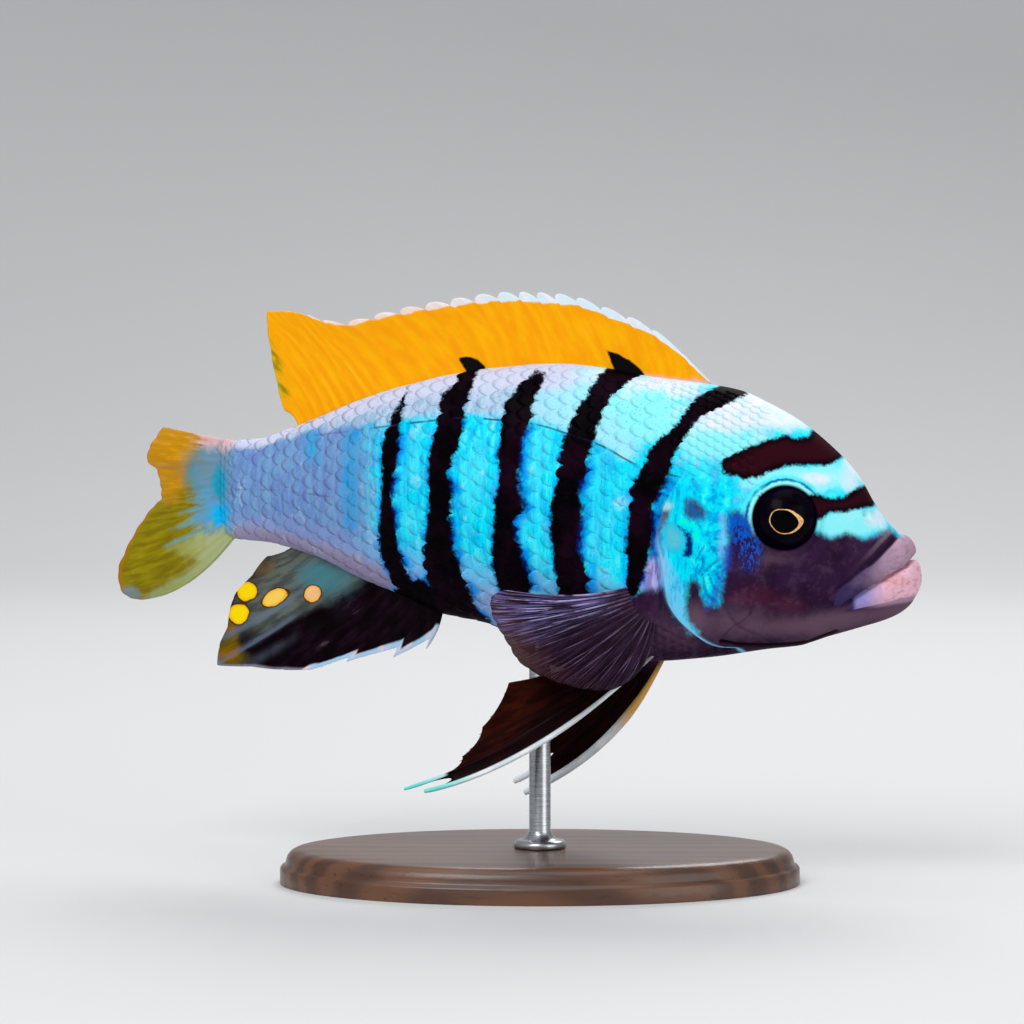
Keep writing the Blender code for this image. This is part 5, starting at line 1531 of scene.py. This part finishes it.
def turned(name, outline, around, stretch=lambda r, a: (r * np.cos(a), r * np.sin(a))):
    """A closed turned shape from an outline of (radius, height), bottom to top."""
    angles = np.arange(around) * 2 * math.pi / around
    points = [(*stretch(r, a), z) for r, z in outline for a in angles]
    points += [(0, 0, outline[0][1]), (0, 0, outline[-1][1])]
    low, high = len(points) - 2, len(points) - 1
    last = (len(outline) - 1) * around
    faces = []
    for k in range(around):
        m = (k + 1) % around
        faces += [(j * around + k, j * around + m, (j + 1) * around + m, (j + 1) * around + k)
                  for j in range(len(outline) - 1)]
        faces += [(low, m, k), (high, last + k, last + m)]
    return plain_mesh(name, np.array(points) * MM, faces)


def paint_walnut():
    """Brown wood whose grain runs along the base."""
    paint = Paint("oiled_walnut", Roughness=0.38, Coat_Weight=0.25, Coat_Roughness=0.2)
    stretched = paint.node("ShaderNodeMapping", {"Vector": paint.object_place, "Scale": (16, 120, 120),
                                                 "Rotation": (0.05, 0.02, 0.03)})
    warp = paint.node("ShaderNodeTexNoise", {"Vector": stretched, "Scale": 1.0, "Detail": 3.0})
    rings = paint.node("ShaderNodeTexWave", {"Vector": stretched, "Scale": 0.7, "Distortion": 7.0,
                                             "Detail": 3.0, "Detail Scale": 1.2}, bands_direction="Y", out=1)
    fibre = paint.noise(0.6, 5.0, stretch=(16.0, 1.0, 1.0))
    wood = paint.coats(
        paint.shades(rings, 0.1, 0.95, tint(76, 46, 30), tint(104, 66, 42)),
        (paint.times(paint.over(warp, 0.45, 0.75), 0.4), tint(56, 33, 23)),
        (paint.times(paint.over(fibre, 0.58, 0.7), 0.5), tint(34, 20, 14)))
    return paint.finish(wood, paint.bump(fibre, 0.05))


def paint_steel():
    """Bright metal with the fine rings of a lathe."""
    paint = Paint("turned_steel", Metallic=1.0)
    turning = paint.noise(0.12, 3.0, stretch=(30.0, 30.0, 1.0))
    dull = paint.sums("MULTIPLY_ADD", turning, 0.18, 0.2)
    steel = paint.shades(turning, 0.35, 0.7, tint(178, 180, 184), tint(206, 208, 211))
    return paint.finish(steel, paint.bump(turning, 0.01), dull)


def ellipse(r, a):
    """The base's plan: r counts from the plain edge of an oval."""
    return (BASE_LENGTH / 2 - 1 + r) * np.cos(a), (BASE_WIDTH / 2 - 1 + r) * np.sin(a)


walnut, steel = paint_walnut(), paint_steel()
base_mesh = turned("walnut_base", BASE_EDGE, 192, ellipse)
new_piece("walnut_base", base_mesh, walnut, "walnut", "stand_base")
ROD_TOP = float(belly(0.0)) + ROD_SUNK
ROD_SHAPE = [(FOOT_RADIUS - 0.15, BASE_THICK), (FOOT_RADIUS, BASE_THICK + 0.15),
             (FOOT_RADIUS, BASE_THICK + 0.6), (FOOT_RADIUS - 0.2, BASE_THICK + 0.85),
             (FOOT_RADIUS - 0.8, BASE_THICK + 1.0), (ROD_RADIUS + 0.7, BASE_THICK + 1.1),
             (ROD_RADIUS + 0.25, BASE_THICK + 1.5), (ROD_RADIUS, BASE_THICK + 2.1),
             (ROD_RADIUS, ROD_TOP - 4.0), (ROD_RADIUS - 0.1, ROD_TOP - 3.8),
             (ROD_RADIUS - 0.1, ROD_TOP - 3.5), (ROD_RADIUS, ROD_TOP - 3.3), (ROD_RADIUS, ROD_TOP)]
new_piece("steel_rod", turned("steel_rod", ROD_SHAPE, 64), steel, "steel", "stand_rod")

# The camera stands where the photographer did, a little above the fish and square to its head. It
# is half a metre away, with a lens that frames the fish as the photo does.
CAMERA_TARGET = (-3.22, 0.0, 42.8)
CAMERA_DISTANCE = 512.0
CAMERA_DOWN = math.radians(3.0)
VIEW_WIDTH = 117.76
lens = bpy.data.cameras.new("camera")
lens.sensor_width = 36.0
lens.lens = lens.sensor_width * CAMERA_DISTANCE / VIEW_WIDTH
lens.clip_start = 0.01
camera = put_in_scene("camera", lens)
camera.location = [(a + b) * MM for a, b in zip(
    CAMERA_TARGET, (0, -CAMERA_DISTANCE * math.cos(CAMERA_DOWN),
                    CAMERA_DISTANCE * math.sin(CAMERA_DOWN)))]
camera.rotation_euler = (math.pi / 2 - CAMERA_DOWN, 0, 0)
bpy.context.scene.camera = camera

# The studio: a pale floor that curves up into a wall, and soft lamps round the fish.
# Its lengths are metres.
FLOOR_WIDTH, FLOOR_FRONT, FLOOR_BACK, WALL_HEIGHT, CURVE_RADIUS = 6.0, -2.5, 0.5, 2.0, 0.45
LAMPS_AIM_AT = (0.0, 0.0, 0.04)


def build_floor():
    """A sheet that lies flat, bends up behind the fish and stands on as a wall."""
    bend = [(FLOOR_BACK + CURVE_RADIUS * math.sin(a), CURVE_RADIUS * (1 - math.cos(a)))
            for a in np.linspace(0, math.pi / 2, 16)]
    line = [(FLOOR_FRONT, 0.0)] + bend + [(FLOOR_BACK + CURVE_RADIUS, WALL_HEIGHT)]
    points = [(side * FLOOR_WIDTH / 2, y, z) for y, z in line for side in (-1, 1)]
    faces = [(2 * k, 2 * k + 1, 2 * k + 3, 2 * k + 2) for k in range(len(line) - 1)]
    mesh = plain_mesh("studio_floor", points, faces)
    paint = Paint("studio_floor", Roughness=0.7)
    shade = paint.mix(paint.noise(300, 2.0), tint(205, 205, 206), tint(212, 212, 213))
    mesh.materials.append(paint.finish(shade))
    mesh.shade_smooth()
    floor = put_in_scene("studio_floor", mesh)


def add_lamp(name, place, size, power):
    data = bpy.data.lights.new(name, "AREA")
    data.size = size
    data.energy = power
    lamp = put_in_scene(name, data)
    lamp.location = place
    away = np.array(place) - np.array(LAMPS_AIM_AT)
    yaw = math.atan2(away[1], away[0]) + math.pi / 2
    lamp.rotation_euler = (math.acos(away[2] / np.linalg.norm(away)), 0, yaw)


build_floor()
add_lamp("key_lamp", (-0.3, -0.5, 0.6), 0.4, 3.4)
add_lamp("fill_lamp", (0.6, -0.5, 0.3), 0.5, 1.3)
add_lamp("rim_lamp", (0.1, 0.42, 0.5), 0.35, 2.0)
add_lamp("top_lamp", (0.0, 0.0, 0.8), 0.6, 1.6)
world = bpy.data.worlds.new("studio")
world.use_nodes = True
world.node_tree.nodes["Background"].inputs["Color"].default_value = (0.85, 0.88, 0.92, 1)
world.node_tree.nodes["Background"].inputs["Strength"].default_value = 0.42
bpy.context.scene.world = world
bpy.context.scene.view_settings.view_transform = "Standard"
